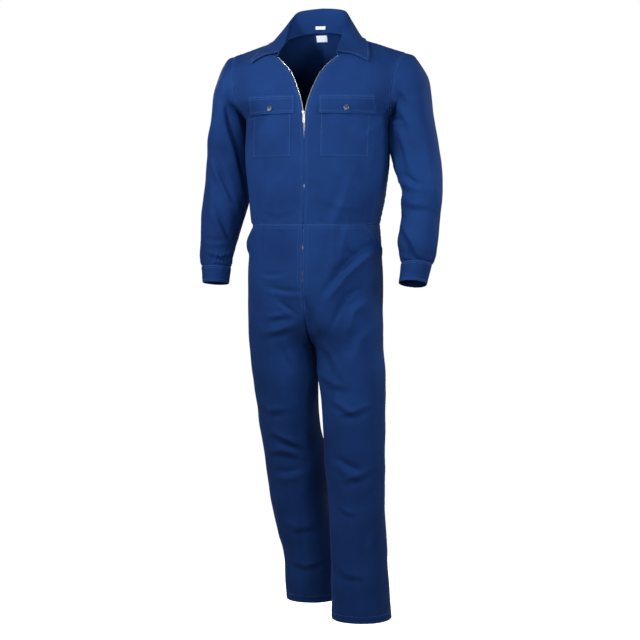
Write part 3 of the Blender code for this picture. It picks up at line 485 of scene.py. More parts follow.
@dataclass
class CuffSurface:
    """A cuff: u round the wrist with the lap, v from its top to its opening."""

    side: Side
    top: ArmRing
    end: ArmRing
    lift: float = .0012          # how far the cuff's face stands over the sleeve
    rise_at: float = 330.0       # degrees round at which the overlap begins to climb over the start
    lap_lift: float = .0024      # how far it climbs
    outward: float = field(init=False)

    def __post_init__(self) -> None:
        """Sets the way out."""
        self.outward = -self.side.value

    def at(self, u: Array, v: Array) -> Array:
        """Points of the cuff."""
        turn = 360 + CUFF_LAP
        angle = np.radians(CUFF_START + turn * u)
        upper, lower = (ring_points(ring, self.side, angle) for ring in (self.top, self.end))
        sign = np.array((self.side.value, 1, 1))
        tip, foot = np.array(self.top[:3]) * sign, np.array(self.end[:3]) * sign
        v = v[:, None]
        here, middle = upper + (lower - upper) * v, tip + (foot - tip) * v
        rise = np.clip((u * turn - self.rise_at) / (turn - self.rise_at) * 2.2, 0, 1)[:, None]
        return here + unit(here - middle) * (self.lift + self.lap_lift * rise)

    def button_spot(self) -> tuple[Vector, Vector]:
        """Where the button sits in the middle of the lap, and the way it faces."""
        u, v = np.array([1 - CUFF_LAP / 2 / (360 + CUFF_LAP)]), np.array([.5])
        out = direction(self, u, v)[0]
        return Vector(self.at(u, v)[0] + out * .0006), Vector(out)


def cuff_surface(side: Side) -> CuffSurface:
    """The cuff of one side, from the sleeve's last ring to its own opening."""
    return CuffSurface(side, ARMS[side][-1], CUFF_ENDS[side])


@dataclass
class CollarSurface:
    """The collar: u round the neck from right to left, v from the neck seam over the roll to the edge."""

    roll_at: float = .42         # v of the roll
    outward: float = 1

    def __post_init__(self) -> None:
        """Reads the neck edge of the top."""
        self.rows = np.array(COLLAR_ROWS)
        self.marks = arc_marks(self.rows[:, 3:])
        self.necks = {side: self.neckline(side) for side in Side}

    @staticmethod
    def neckline(side: Side) -> Array:
        """The neck edge of half the top, from the centre back to the end of the lapel."""
        back, front = top_panel(side, False), top_panel(side, True)
        start, end = back.marks[-3], front.marks[-3]
        climb, fall = np.arange(10) / 10, np.arange(11) / 10
        return np.concatenate([back.at(np.zeros(10), start + (1 - start) * climb),
                               front.at(np.zeros(11), 1 + (end - 1) * fall)])

    def at(self, u: Array, v: Array) -> Array:
        """Points of the collar."""
        spot = np.clip(np.abs(2 * u - 1), 0, 1)
        left = u >= .5
        seam = np.zeros((len(u), 3))
        for side in Side:
            chosen = left == (side is Side.LEFT)
            points = self.necks[side]
            seam[chosen] = hermite(arc_marks(points), points, spot[chosen])
        mirror = np.stack([np.where(left, 1.0, -1.0), np.ones(len(u)), np.ones(len(u))], 1)
        roll = hermite(self.marks, self.rows[:, :3], spot) * mirror
        edge = hermite(self.marks, self.rows[:, 3:], spot) * mirror
        k = self.roll_at
        crown = (roll - seam * (1 - k) ** 3 - edge * k ** 3) / (3 * k * (1 - k))
        return bezier((seam, crown, crown, edge), np.clip(v, 0, 1))


# ================================================================ camera
@dataclass(frozen=True)
class MainView:
    """The studio camera. Creases are chalked on its view, a sheet of 640 x 640 squares of 2.6 mm each."""

    turn: float = 13.0           # degrees from straight in front towards the wearer's left
    tilt: float = 3.2            # degrees down
    distance: float = 4.5
    height: float = -.48
    aside: float = .0099
    focal: float = 1730.0        # in squares of the sheet
    squares: int = 640
    sensor: float = 36.0

    def axes(self) -> tuple[Array, Array, Array, Array]:
        """The camera's place, and its directions to the right, up and forwards."""
        a, e = radians(self.turn), radians(self.tilt)
        right = np.array((cos(a), sin(a), 0))
        level = np.array((-sin(a), cos(a), 0))
        place = right * self.aside - level * self.distance + (0, 0, self.height)
        forward = level * cos(e) - np.array((0, 0, sin(e)))
        return place, right, np.cross(right, forward), forward

    def project(self, points: Array) -> Array:
        """Where points fall on the sheet, in squares from its top left corner."""
        place, right, up, forward = self.axes()
        seen = points - place
        depth = seen @ forward
        half = self.squares / 2
        x, y = seen @ right, seen @ up
        return np.stack([half + self.focal * x / depth, half - self.focal * y / depth], 1)

    def make_camera(self) -> None:
        """Adds the camera and makes it the scene's."""
        data = bpy.data.cameras.new("studio_camera")
        data.sensor_width = self.sensor
        data.lens = self.focal / self.squares * self.sensor
        data.clip_end = 60
        camera = bpy.data.objects.new("studio_camera", data)
        camera.location = Vector(self.axes()[0])
        camera.rotation_euler = (radians(90 - self.tilt), 0, radians(self.turn))
        bpy.context.scene.collection.objects.link(camera)
        bpy.context.scene.camera = camera


VIEW = MainView()


# ================================================================ creases
class Drawing(Enum):
    """The drawing that a crease is chalked on, with the millimetres of one of its units."""

    MAIN = 2.6       # squares of the main view
    BACK = 1.0       # mm seen from straight behind: X to the wearer's left, Z

    def flat(self, points: Array) -> Array:
        """The points on this drawing, in millimetres."""
        if self is Drawing.MAIN:
            return VIEW.project(points) * self.value
        return points[:, (0, 2)] * 1000

    def facing(self, points: Array, out: Array) -> Array:
        """How far each point of the cloth faces the drawing, from 0 to 1."""
        if self is Drawing.MAIN:
            turned = np.sum(unit(VIEW.axes()[0] - points) * out, axis=1)
        else:
            turned = out[:, 1]
        return step(turned, .02, .40)


class Zone(Enum):
    """A part of the suit over which creases run from piece to piece."""

    TRUNK = 1
    LEFT_LEG = 2
    RIGHT_LEG = 3
    LEFT_ARM = 4
    RIGHT_ARM = 5


@dataclass(frozen=True)
class Crease:
    """A soft ridge (height above 0) or trough (below 0) along a chalk line, fading at both ends.

    width is half its breadth and height its rise, in mm. answer is the share of an opposite fold that
    follows it on its right hand, going along the line.
    """

    line: tuple[tuple[float, float], ...]
    width: float
    height: float
    answer: float = 0.0

    def rise(self, flat: Array, unit_mm: float) -> Array:
        """How far the crease lifts points of its drawing, in mm."""
        chalk = np.array(self.line, float) * unit_mm
        reach = 4 * self.width
        total = np.zeros(len(flat))
        near = np.flatnonzero(np.all((flat > chalk.min(0) - reach) & (flat < chalk.max(0) + reach), axis=1))
        if not len(near):
            return total
        spots = flat[near]
        runs = np.diff(chalk, axis=0)
        lengths = np.linalg.norm(runs, axis=1)
        starts = np.concatenate([[0], np.cumsum(lengths)])
        nearest = np.full(len(spots), 1e9)
        share, side = np.zeros(len(spots)), np.zeros(len(spots))
        for k, run in enumerate(runs):
            along = np.clip((spots - chalk[k]) @ run / lengths[k] ** 2, 0, 1)
            gap = spots - chalk[k] - along[:, None] * run
            distance = np.linalg.norm(gap, axis=1)
            closer = distance < nearest
            nearest = np.where(closer, distance, nearest)
            share = np.where(closer, (starts[k] + along * lengths[k]) / starts[-1], share)
            side = np.where(closer, np.sign(run[0] * gap[:, 1] - run[1] * gap[:, 0]), side)
        fade = np.sin(pi * np.clip(share, .03, .97)) ** .7
        lift = np.exp(-(nearest / self.width) ** 1.3)
        if self.answer:
            away = nearest * side - 1.8 * self.width
            lift = lift - self.answer * np.exp(-np.abs(away / (1.1 * self.width)) ** 1.7)
        total[near] = lift * fade * self.height
        return total


@dataclass(frozen=True)
class Unevenness:
    """The slight waves of cloth after wearing, as a sum of seeded sines."""

    seed: int
    height: float                # mm
    longest: float = .16         # metres
    shortest: float = .035
    waves: int = 22

    def rise(self, points: Array) -> Array:
        """How far the waves lift the points, in mm."""
        dice = np.random.default_rng(self.seed)
        total = np.zeros(len(points))
        for k in range(self.waves):
            length = self.longest * (self.shortest / self.longest) ** (k / (self.waves - 1))
            way = unit(dice.normal(size=3) * (1, 1, .55))
            total += np.sin(points @ way * (2 * pi / length) + dice.uniform(0, 2 * pi)) * length
        return total * (self.height / (self.longest * self.waves ** .5 * .4))


# line, width, height and answer of each crease, chalked on the main view
FRONT_CREASES = {
    Zone.TRUNK: (
        # the chest and belly
        (((352, 172), (344, 198), (334, 222), (336, 242), (329, 286)), 11.5, 4.7, .5),
        (((251, 122), (247, 170), (249, 215)), 7.2, 1.8, .5),
        (((261, 125), (258, 180), (262, 217)), 8.6, 1.6, .5),
        (((376, 128), (371, 165), (374, 205)), 11.5, 2.8, .5),
        (((388, 116), (378, 124), (362, 140)), 7.2, 2.5, .6),
        (((252, 104), (250, 126), (253, 150)), 7.2, -2.2),
        (((296, 150), (286, 180), (288, 216)), 13, 1.8),
        (((318, 196), (340, 206), (360, 208)), 8.6, 1.8, .6),
        (((262, 208), (276, 214), (292, 210)), 7.2, 1.4, .6),
        # over the left hip
        (((346, 226), (342, 246), (339, 266)), 8.6, 5.3, .5),
        (((345, 249), (350, 253), (355, 257)), 7.2, -6.2),
        (((379, 247), (361, 261), (345, 276), (326, 302)), 10.1, 11.6, .9),
        (((366, 286), (346, 297), (331, 329)), 8.6, -10.1),
        (((371, 298), (353, 312), (347, 338)), 10.1, 7.8, .5),
        (((378, 322), (360, 340), (352, 366)), 11.5, 4.4, .5),
        # beside and under the fly
        (((262, 273), (270, 275), (282, 274)), 5.8, -4, .5),
        (((266, 287), (284, 291), (303, 292)), 5.8, -4.7, .6),
        (((278, 301), (286, 307), (295, 314)), 5.8, -4.9, .6),
        (((266, 318), (276, 316), (289, 314)), 7.2, 5.3, .5),
        (((262, 334), (280, 330), (300, 322)), 8.6, 4.7, .6),
        (((258, 232), (254, 246), (249, 262)), 7.2, 3.1, .5),
        (((303, 296), (309, 312), (313, 334)), 6.5, -9),
    ),
    Zone.LEFT_LEG: (
        (((314, 338), (330, 352), (344, 380)), 9.1, 5.8, .6),
        (((316, 372), (334, 384), (350, 388)), 9.1, 4.4, .6),
        (((333, 346), (336, 400), (338, 456)), 6.5, 2.8, .4),
        (((331, 398), (342, 406), (354, 414)), 7.8, 5.1, .7),
        (((338, 414), (352, 412), (372, 404)), 7.8, 4.4, .7),
        (((336, 456), (348, 466), (364, 472)), 9.1, -6.1, .6),
        (((342, 480), (358, 476), (376, 466)), 9.1, 4.4, .7),
        (((330, 486), (333, 540), (334, 604)), 5.2, 3.4, .4),
        (((347, 500), (352, 560), (355, 618)), 6.5, 2.8, .4),
        (((340, 506), (347, 512), (356, 514)), 6.5, 3.4, .6),
        (((334, 560), (346, 574), (366, 578)), 7.8, 3.4, .7),
        (((376, 520), (370, 548), (374, 590)), 9.1, 3, .5),
    ),
    Zone.RIGHT_LEG: (
        (((304, 330), (310, 348), (314, 372), (317, 396)), 8.6, 5.6),
        (((271, 330), (270, 370), (272, 420)), 6.5, 2.8, .4),
        (((284, 338), (290, 356), (300, 372)), 9.1, 3.8, .6),
        (((256, 402), (270, 410), (290, 408)), 9.1, 3.4, .7),
        (((270, 430), (284, 438), (303, 446)), 7.8, 6.1, .8),
        (((264, 452), (282, 450), (302, 456)), 9.1, 5.1, .7),
        (((274, 470), (286, 472), (304, 468)), 9.1, -4.8, .6),
        (((278, 490), (280, 540), (288, 596)), 6.5, 3, .4),
        (((300, 500), (302, 540), (306, 590)), 9.1, -3.8),
        (((284, 520), (298, 528), (316, 524)), 9.1, 3, .6),
        (((290, 560), (306, 566), (322, 560)), 7.8, 3.8, .7),
    ),
    Zone.LEFT_ARM: (
        (((392, 84), (402, 92), (416, 106)), 8.8, 3.6, .5),
        (((391, 100), (402, 112), (412, 130)), 8.8, 4.3, .6),
        (((386, 117), (394, 119), (404, 120)), 5, -6.2, .6),
        (((388, 120), (393, 140), (396, 162)), 7, -9, .4),
        (((398, 128), (406, 150), (410, 172)), 8, 7, 0.6),
        (((395, 176), (401, 182), (407, 188)), 6, 8, 0.9),
        (((404, 174), (414, 182), (430, 186)), 7.5, -8.5, 0.8),
        (((400, 196), (412, 204), (434, 206)), 8.8, 4.7, .7),
        (((401, 222), (400, 238), (398, 254)), 7, 7, 0.8),
        (((402, 222), (411, 240), (421, 261)), 7, 8, 0.8),
        (((398, 252), (406, 259), (416, 262)), 5, 5.8, .8),
        (((412, 264), (424, 262), (436, 256)), 5, 4.7, .8),
        (((424, 140), (430, 170), (436, 196)), 10.1, 3.6, .5),
    ),
    Zone.RIGHT_ARM: (
        (((225, 100), (232, 130), (240, 156), (250, 202)), 8, -11.5, 0.5),
        (((214, 157), (224, 180), (235, 203)), 6.5, -10.5, 0.7),
        (((232, 102), (240, 130), (247, 158)), 8.8, 6.2, .3),
        (((216, 208), (224, 226), (234, 247)), 7.5, -10, 0.7),
        (((205, 239), (214, 241), (224, 240)), 5, -4.7, .8),
        (((206, 252), (220, 256), (236, 252)), 5, 4.7, .8),
        (((212, 262), (226, 266), (238, 262)), 5, 4.7, .8),
        (((222, 84), (226, 96), (227, 108)), 8.8, 4.1, .5),
        (((208, 176), (212, 200), (208, 226)), 10.1, 4.3, .5),
        (((236, 204), (242, 216), (240, 236)), 8.8, 5.5, .6),
    ),
}
# the same, seen from straight behind
BACK_CREASES = {
    Zone.TRUNK: (
        (((-150, -215), (-95, -255), (-40, -262)), 14.3, 3.9, .5),
        (((150, -220), (90, -248), (30, -270)), 14.3, 3.9, .5),
        (((-60, -300), (-72, -380), (-66, -470)), 15.7, 3.3, .5),
        (((64, -310), (74, -390), (60, -472)), 15.7, 3.3, .5),
        (((-130, -455), (-60, -472), (10, -462)), 10.4, 3.3, .6),
        (((134, -448), (80, -466), (24, -470)), 10.4, 3.3, .6),
        (((-138, -500), (-84, -520), (-20, -512)), 10.4, 3.3, .6),
        (((128, -505), (76, -520), (30, -516)), 10.4, 3.1, .6),
        (((0, -640), (52, -700), (120, -730)), 15.7, 5.2, .6),
        (((0, -650), (-52, -704), (-124, -726)), 15.7, 5.2, .6),
        (((22, -742), (80, -772), (150, -776)), 11.7, 6.4, .7),
        (((-22, -744), (-84, -776), (-150, -770)), 11.7, 6.4, .7),
    ),
    Zone.LEFT_LEG: (
        (((40, -905), (96, -930), (168, -918)), 12.5, 4.6, .7),
        (((60, -1020), (104, -1052), (160, -1040)), 11.2, 4.8, .8),
        (((66, -1086), (116, -1080), (170, -1098)), 10, 4.6, .8),
        (((72, -1150), (118, -1172), (160, -1160)), 12.5, 3.5, .7),
        (((90, -1300), (124, -1330), (176, -1322)), 12.5, 3.3, .7),
        (((116, -880), (112, -1150), (124, -1480)), 7.5, 2.5, .4),
    ),
    Zone.RIGHT_LEG: (
        (((-40, -900), (-92, -926), (-150, -912)), 12.5, 4.6, .7),
        (((-30, -1030), (-76, -1056), (-138, -1044)), 11.2, 4.8, .8),
        (((-20, -1098), (-70, -1092), (-136, -1108)), 10, 4.6, .8),
        (((-20, -1186), (-64, -1204), (-120, -1192)), 12.5, 3.5, .7),
        (((0, -1320), (-40, -1344), (-92, -1330)), 12.5, 3.5, .7),
        (((-88, -880), (-68, -1120), (-34, -1460)), 7.5, 2.5, .4),
    ),
    Zone.LEFT_ARM: (
        (((230, -330), (270, -362), (322, -352)), 11, 5.4, .8),
        (((236, -390), (282, -408), (326, -400)), 9.9, 4.8, .8),
        (((238, -450), (276, -480), (318, -470)), 9.9, 4.2, .8),
        (((232, -520), (268, -542), (306, -536)), 8.7, 3.6, .8),
        (((216, -200), (232, -250), (236, -300)), 11, 4.2, .6),
    ),
    Zone.RIGHT_ARM: (
        (((-222, -330), (-262, -356), (-300, -346)), 11, 5.4, .8),
        (((-226, -400), (-266, -424), (-308, -416)), 11, 4.8, .8),
        (((-230, -470), (-266, -492), (-306, -486)), 9.9, 4.2, .8),
        (((-236, -540), (-268, -560), (-300, -552)), 8.7, 3.6, .8),
        (((-212, -200), (-226, -250), (-230, -300)), 11, 4.2, .6),
    ),
}
CREASES: dict[Drawing, dict[Zone, list[Crease]]] = {
    drawing: {zone: [Crease(*row) for row in rows] for zone, rows in drawn.items()}
    for drawing, drawn in ((Drawing.MAIN, FRONT_CREASES), (Drawing.BACK, BACK_CREASES))}


# ================================================================ cloth
class Edge(Enum):
    """How an edge of a cloth piece is finished: its groove and its pucker in mm, and the pucker's reach."""

    SEAM = (.9, .45, 6.0)
    ARMHOLE = (.9, .7, 8.0)
    WAIST = (.7, .7, 9.0)
    GATHER = (1.0, 1.5, 14.0)
    FREE = (.25, .25, 5.0)
    PLAIN = (0.0, 0.0, 5.0)


@dataclass(frozen=True)
class Edging:
    """The finish of the four edges of a piece: u 0, u 1, v 0 and v 1."""

    inner: Edge = Edge.SEAM
    outer: Edge = Edge.SEAM
    low: Edge = Edge.SEAM
    high: Edge = Edge.SEAM


@dataclass
class Line:
    """A line along cloth: its points and the directions out of the cloth there."""

    points: Array
    outs: Array


def cells(length: float, cell: float = .0045, close: bool = True) -> Array:
    """Shares of a length at which its lattice lines lie, closer together beside its two seams."""
    fine = np.array((0, .0008, .0018, .0032, .0052, .008, .0115)) if close else np.array((0.0, cell))
    fine = fine[fine < length * .3]
    count = max(int(round((length - 2 * fine[-1]) / cell)), 1)
    middle = np.linspace(fine[-1], length - fine[-1], count + 1)[1:-1]
    return np.concatenate([fine, middle, (length - fine)[::-1]]) / length


def span_of(surface: Surface, fixed: float, along_v: bool, start: float = 0, end: float = 1) -> float:
    """Length of a line of a surface across (along_v false) or along it."""
    t = np.linspace(start, end, 60)
    still = np.full(60, fixed)
    points = surface.at(still, t) if along_v else surface.at(t, still)
    return float(np.linalg.norm(np.diff(points, axis=0), axis=1).sum())


class Parting(NamedTuple):
    """A place where the closed zip shows: its height, its reach up and down, and how wide it opens."""

    z: float
    reach: float = .006
    width: float = .0011


class Cloth:
    """One cut piece of cloth as a lattice of points, still without its ply."""

    HEM_TURN = .0022             # metres from the fold by which a hem has turned in fully
    HEM_DEPTH = .9               # share of them that it lies behind the face
    EDGE_HIGHLIGHT_REACH = .004            # how far the painted highlight along edges and seams runs in from an edge
    ALLOWANCE_PAST = .0009       # how far a seam allowance reaches past the seam
    ALLOWANCE_DEEP = .0034       # and behind it
    GROOVE_REACH = 2.1           # mm over which a seam draws the cloth in
    PUCKERS = (.0125, .047, 29)  # metres between puckers, metres of their drift, and a slow beat
    PARTING_REACH = .012         # how far a parting of the zip runs in from the front edge

    def __init__(self, surface: Surface, u: Array, v: Array, hem: float = 0.0) -> None:
        """Reads the surface.

        Args:
            surface: The form that the piece lies on.
            u: Lattice lines across, from 0 to 1.
            v: Lattice lines along, from 0 to 1.
            hem: Metres of cloth turned in at v 0.
        """
        self.surface = surface
        self.inset = np.zeros(len(v))
        self.allowances: list[tuple[list[tuple[int, int]], tuple[int, int]]] = []
        if hem:
            height = span_of(surface, .5, True)
            turned = np.concatenate([np.arange(hem, .006, -.004), (.004, .002, .0008)])
            v = np.concatenate([turned / height, v])
            self.inset = np.concatenate([np.minimum(turned, self.HEM_TURN) * self.HEM_DEPTH, self.inset])
        self.turned = int(np.count_nonzero(self.inset))
        self.rows, self.cols = len(v), len(u)
        grid_u, grid_v = (side.ravel() for side in np.meshgrid(u, v))
        points = surface.at(grid_u, grid_v)
        outs = direction(surface, grid_u, grid_v)
        self.points = points.reshape(self.rows, self.cols, 3)
        self.outs = outs.reshape(self.rows, self.cols, 3)
        across = self._lengths(self.points, 1)
        along = self._lengths(self.points, 0)
        along = along - along[self.turned:self.turned + 1] if self.turned else along
        self.across, self.along = across, along
        self.width, self.height = across[:, -1:], along[-1:]
        self.grain = np.stack([across - self.width / 2, along], 2)
        self.edge_gap = np.minimum(np.minimum(across, self.width - across),
                                   np.minimum(np.abs(along), self.height - along))

    @staticmethod
    def _lengths(points: Array, axis: int) -> Array:
        """Distance along the lattice lines."""
        steps = np.linalg.norm(np.diff(points, axis=axis), axis=2)
        start = np.zeros_like(np.take(steps, [0], axis=axis))
        return np.concatenate([start, np.cumsum(steps, axis=axis)], axis=axis)

    def steer(self, outs: Array, share: Array) -> None:
        """Turns the directions out of the cloth towards others, by a share from 0 to 1."""
        self.outs = unit(self.outs * (1 - share)[..., None] + outs * share[..., None])

    def relax(self, share: Array, rounds: int) -> None:
        """Smooths the lattice along v, by a share from 0 to 1."""
        for _ in range(rounds):
            middle = (self.points[:-2] + self.points[2:]) / 2 - self.points[1:-1]
            self.points[1:-1] += middle * share[1:-1, :, None] * .5

    def raise_by(self, metres: Array | float) -> None:
        """Moves the points out of the cloth."""
        self.points = self.points + self.outs * np.asarray(metres)[..., None]

    def part(self, side: Side, partings: Iterable[Parting]) -> None:
        """Opens the front edge a little where the closed zip shows."""
        for z, reach, width in partings:
            near = np.exp(-((self.points[..., 2] - z) / reach) ** 2)
            share = near * np.exp(-self.across / self.PARTING_REACH)
            self.points[..., 0] += side.value * width * share

    def crease(self, zones: Iterable[Zone], calm: Array | float, seed: int, uneven: float = .7) -> None:
        """Lays the creases of some zones and a slight unevenness over the piece.

        Args:
            zones: The zones whose creases cross the piece.
            calm: Share of them that shows at each point.
            seed: Seed of the unevenness, the same for neighbours.
            uneven: Its height in mm.
        """
        points, outs = self.points.reshape(-1, 3), self.outs.reshape(-1, 3)
        rise = Unevenness(seed, uneven).rise(points)
        for drawing in Drawing:
            drawn = [crease for zone in zones for crease in CREASES[drawing][zone]]
            if drawn:
                flat, facing = drawing.flat(points), drawing.facing(points, outs)
                rise = rise + facing * sum(crease.rise(flat, drawing.value) for crease in drawn)
        self.raise_by(rise.reshape(self.rows, self.cols) * calm / 1000)

    def sew_edges(self, edging: Edging) -> None:
        """Draws the seams in and puckers the cloth beside them."""
        gaps = (
            (edging.inner, self.across, self.along), (edging.outer, self.width - self.across, self.along),
            (edging.low, np.abs(self.along), self.across),
            (edging.high, self.height - self.along, self.across))
        for edge, gap, run in gaps:
            groove, pucker, reach = edge.value
            near = gap * 1000
            short, drift, beat = self.PUCKERS
            wave = np.sin(run * (2 * pi / short) + 1.7 * np.sin(run * (2 * pi / drift))
                          + 2.1 * np.sin(run * beat))
            ripple = pucker * near / reach * np.exp(1 - near / reach) * (wave + .35)
            self.raise_by((ripple - groove * np.exp(-(near / self.GROOVE_REACH) ** 2)) / 1000)
        last = (self.rows - 1, self.cols - 1)
        around = ((edging.inner, [(j, 0) for j in range(last[0] + 1)], (0, 1)),
                  (edging.outer, [(j, last[1]) for j in range(last[0] + 1)], (0, -1)),
                  (edging.low, [(0, i) for i in range(last[1] + 1)], (1, 0)),
                  (edging.high, [(last[0], i) for i in range(last[1] + 1)], (-1, 0)))
        self.allowances = [(spots, inner) for edge, spots, inner in around if edge.value[0] > .5]

    def fold_hem(self) -> None:
        """Turns the cloth below v 0 in behind the rest."""
        self.raise_by(-np.broadcast_to(self.inset[:, None], (self.rows, self.cols)))

    def line(self, edge: str, gap: float, start: float = 0.0, end: float = 1.0) -> Line:
        """A line at a distance from one edge.

        Args:
            edge: inner, outer, low or high.
            gap: Metres from it.
            start: Share of the edge at which the line begins.
            end: Share at which it ends.

        Returns:
            The line, on the creased cloth.
        """
        first = self.turned
        points, outs = self.points[first:], self.outs[first:]
        if edge in ("inner", "outer"):
            gaps = self.across[first:] if edge == "inner" else self.width[first:] - self.across[first:]
        else:
            gaps = self.along[first:] if edge == "low" else self.height - self.along[first:]
            points, outs, gaps = points.transpose(1, 0, 2), outs.transpose(1, 0, 2), gaps.T
        if edge in ("outer", "high"):
            points, outs, gaps = points[:, ::-1], outs[:, ::-1], gaps[:, ::-1]
        count = len(gaps)
        chosen = range(int(start * (count - 1)), int(end * (count - 1)) + 1)
        spots = [read_along(gaps[k], values[k], gap) for values in (points, outs) for k in chosen]
        half = len(spots) // 2
        return Line(np.array(spots[:half]), unit(np.array(spots[half:])))

    def fill(self, work: bmesh.types.BMesh) -> None:
        """Adds the lattice to a bmesh as a grid with its grain as UVs, in metres, and the share of painted
        highlight near its edges and seams.
        """
        uv = work.loops.layers.uv.get("grain") or work.loops.layers.uv.new("grain")
        wear = work.verts.layers.float.get("wear") or work.verts.layers.float.new("wear")
        made = bmesh.ops.create_grid(work, x_segments=self.cols - 1, y_segments=self.rows - 1, size=.5)
        place = {}
        for vert in made["verts"]:
            i = int(round((vert.co.x + .5) * (self.cols - 1)))
            j = int(round((vert.co.y + .5) * (self.rows - 1)))
            place[vert] = (j, i)
        # painted highlight: the cloth is marked for a lighter tone within a few mm of each edge and seam
        highlight_share = np.exp(-self.edge_gap / self.EDGE_HIGHLIGHT_REACH)
        for vert, spot in place.items():
            vert.co = self.points[spot]
            vert[wear] = highlight_share[spot]
        faces = {face for vert in made["verts"] for face in vert.link_faces}
        for face in faces:
            for loop in face.loops:
                loop[uv].uv = self.grain[place[loop.vert]]
        vert_at = {spot: vert for vert, spot in place.items()}
        for spots, inner in self.allowances:
            if np.allclose(self.points[:, 0], self.points[:, -1]) and inner[0] == 0:
                continue
            border = [vert_at[spot] for spot in spots]
            turned = []
            for vert, (j, i) in zip(border, spots):
                beyond = unit(self.points[j, i] - self.points[j + inner[0], i + inner[1]])
                turned.append(work.verts.new(self.points[j, i] + beyond * self.ALLOWANCE_PAST
                                             - self.outs[j, i] * self.ALLOWANCE_DEEP))
            for k in range(len(border) - 1):
                pair = border[k], border[k + 1]
                seam = work.edges.get(pair)
                seam.smooth = False
                along = next(loop.vert is pair[0] for loop in seam.link_loops)
                ring = (pair[1], pair[0], turned[k], turned[k + 1])
                strip = work.faces.new(ring if along else ring[::-1])
                faces.add(strip)
                for loop in strip.loops:
                    near = k + (loop.vert in (pair[1], turned[k + 1]))
                    loop[uv].uv = self.grain[spots[near]]
        if self.surface.outward < 0:
            bmesh.ops.reverse_faces(work, faces=list(faces))

    def make(self, name: str, finish: bpy.types.Material, thickness: float,
             rounded: float = 0.0) -> bpy.types.Object:
        """Turns the lattice into a piece with its ply."""
        work = bmesh.new()
        self.fill(work)
        return ply(keep(name, work, finish), thickness, rounded)


def merge(work: bmesh.types.BMesh, gap: float = 1e-5) -> None:
    """Closes a tube or a centre line where its points coincide."""
    bmesh.ops.remove_doubles(work, verts=work.verts, dist=gap)


def keep(name: str, work: bmesh.types.BMesh, finish: bpy.types.Material,
         smooth: bool = True) -> bpy.types.Object:
    """Turns a bmesh into a named object in the scene."""
    mesh = bpy.data.meshes.new(name)
    work.to_mesh(mesh)
    work.free()
    if smooth:
        mesh.shade_smooth()
    mesh.materials.append(finish)
    made = bpy.data.objects.new(name, mesh)
    bpy.context.scene.collection.objects.link(made)
    return made


def ply(piece: bpy.types.Object, thickness: float, rounded: float = 0.0) -> bpy.types.Object:
    """Gives a cloth piece its thickness inwards, with rounded edges where it is doubled over."""
    wall = piece.modifiers.new("ply", "SOLIDIFY")
    wall.thickness = thickness
    wall.offset = -1
    wall.use_even_offset = False
    if rounded:
        edge = piece.modifiers.new("turned_edge", "BEVEL")
        edge.width = rounded
        edge.segments = 2
        edge.limit_method = "ANGLE"
        edge.angle_limit = radians(50)
    return piece


def dress(piece: bpy.types.Object, node: str,
          body: str = "garment") -> bpy.types.Object:
    """Lets a piece ride on a body and stand for a solid."""
    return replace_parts(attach(piece, body), node)


def soften(work: bmesh.types.BMesh, edges: list[bmesh.types.BMEdge], width: float, segments: int = 2) -> None:
    """Bevels edges of a metal piece."""
    bmesh.ops.bevel(work, geom=edges, offset=width, segments=segments, profile=.5, material=-1,
                    affect="EDGES")
    bmesh.ops.recalc_face_normals(work, faces=work.faces)


def sharp_edges(work: bmesh.types.BMesh, degrees: float) -> list[bmesh.types.BMEdge]:
    """The edges at which two faces turn by more than an angle."""
    return [edge for edge in work.edges
            if len(edge.link_faces) == 2 and edge.calc_face_angle() > radians(degrees)]


# ================================================================ finishes
def hex_colour(code: str) -> tuple[float, float, float, float]:
    """An sRGB hex colour as linear RGBA."""
    parts = [int(code[k:k + 2], 16) / 255 for k in (1, 3, 5)]
    r, g, b = (p / 12.92 if p <= .04045 else ((p + .055) / 1.055) ** 2.4 for p in parts)
    return r, g, b, 1.0


def add_node(tree: bpy.types.NodeTree, kind: str, settings: dict[str, object] | None = None,
             inputs: dict[str | int, object] | None = None) -> bpy.types.Node:
    """Adds a node with its settings and links.

    Args:
        tree: The node tree.
        kind: The node's type.
        settings: Values of the node's own properties.
        inputs: Values, or sockets to link, of its input sockets.

    Returns:
        The node.
    """
    node = tree.nodes.new(kind)
    for name, value in (settings or {}).items():
        setattr(node, name, value)
    for socket, value in (inputs or {}).items():
        if isinstance(value, bpy.types.NodeSocket):
            tree.links.new(value, node.inputs[socket])
        else:
            node.inputs[socket].default_value = value
    return node


def new_material(name: str, **sockets: object) -> tuple[bpy.types.Material, bpy.types.NodeTree,
                                                        bpy.types.Node]:
    """A Principled material with constants on the shader's own sockets."""
    made = bpy.data.materials.new(name)
    made.use_nodes = True
    shader = made.node_tree.nodes["Principled BSDF"]
    for socket, value in sockets.items():
        shader.inputs[socket.replace("_", " ")].default_value = value
    return made, made.node_tree, shader


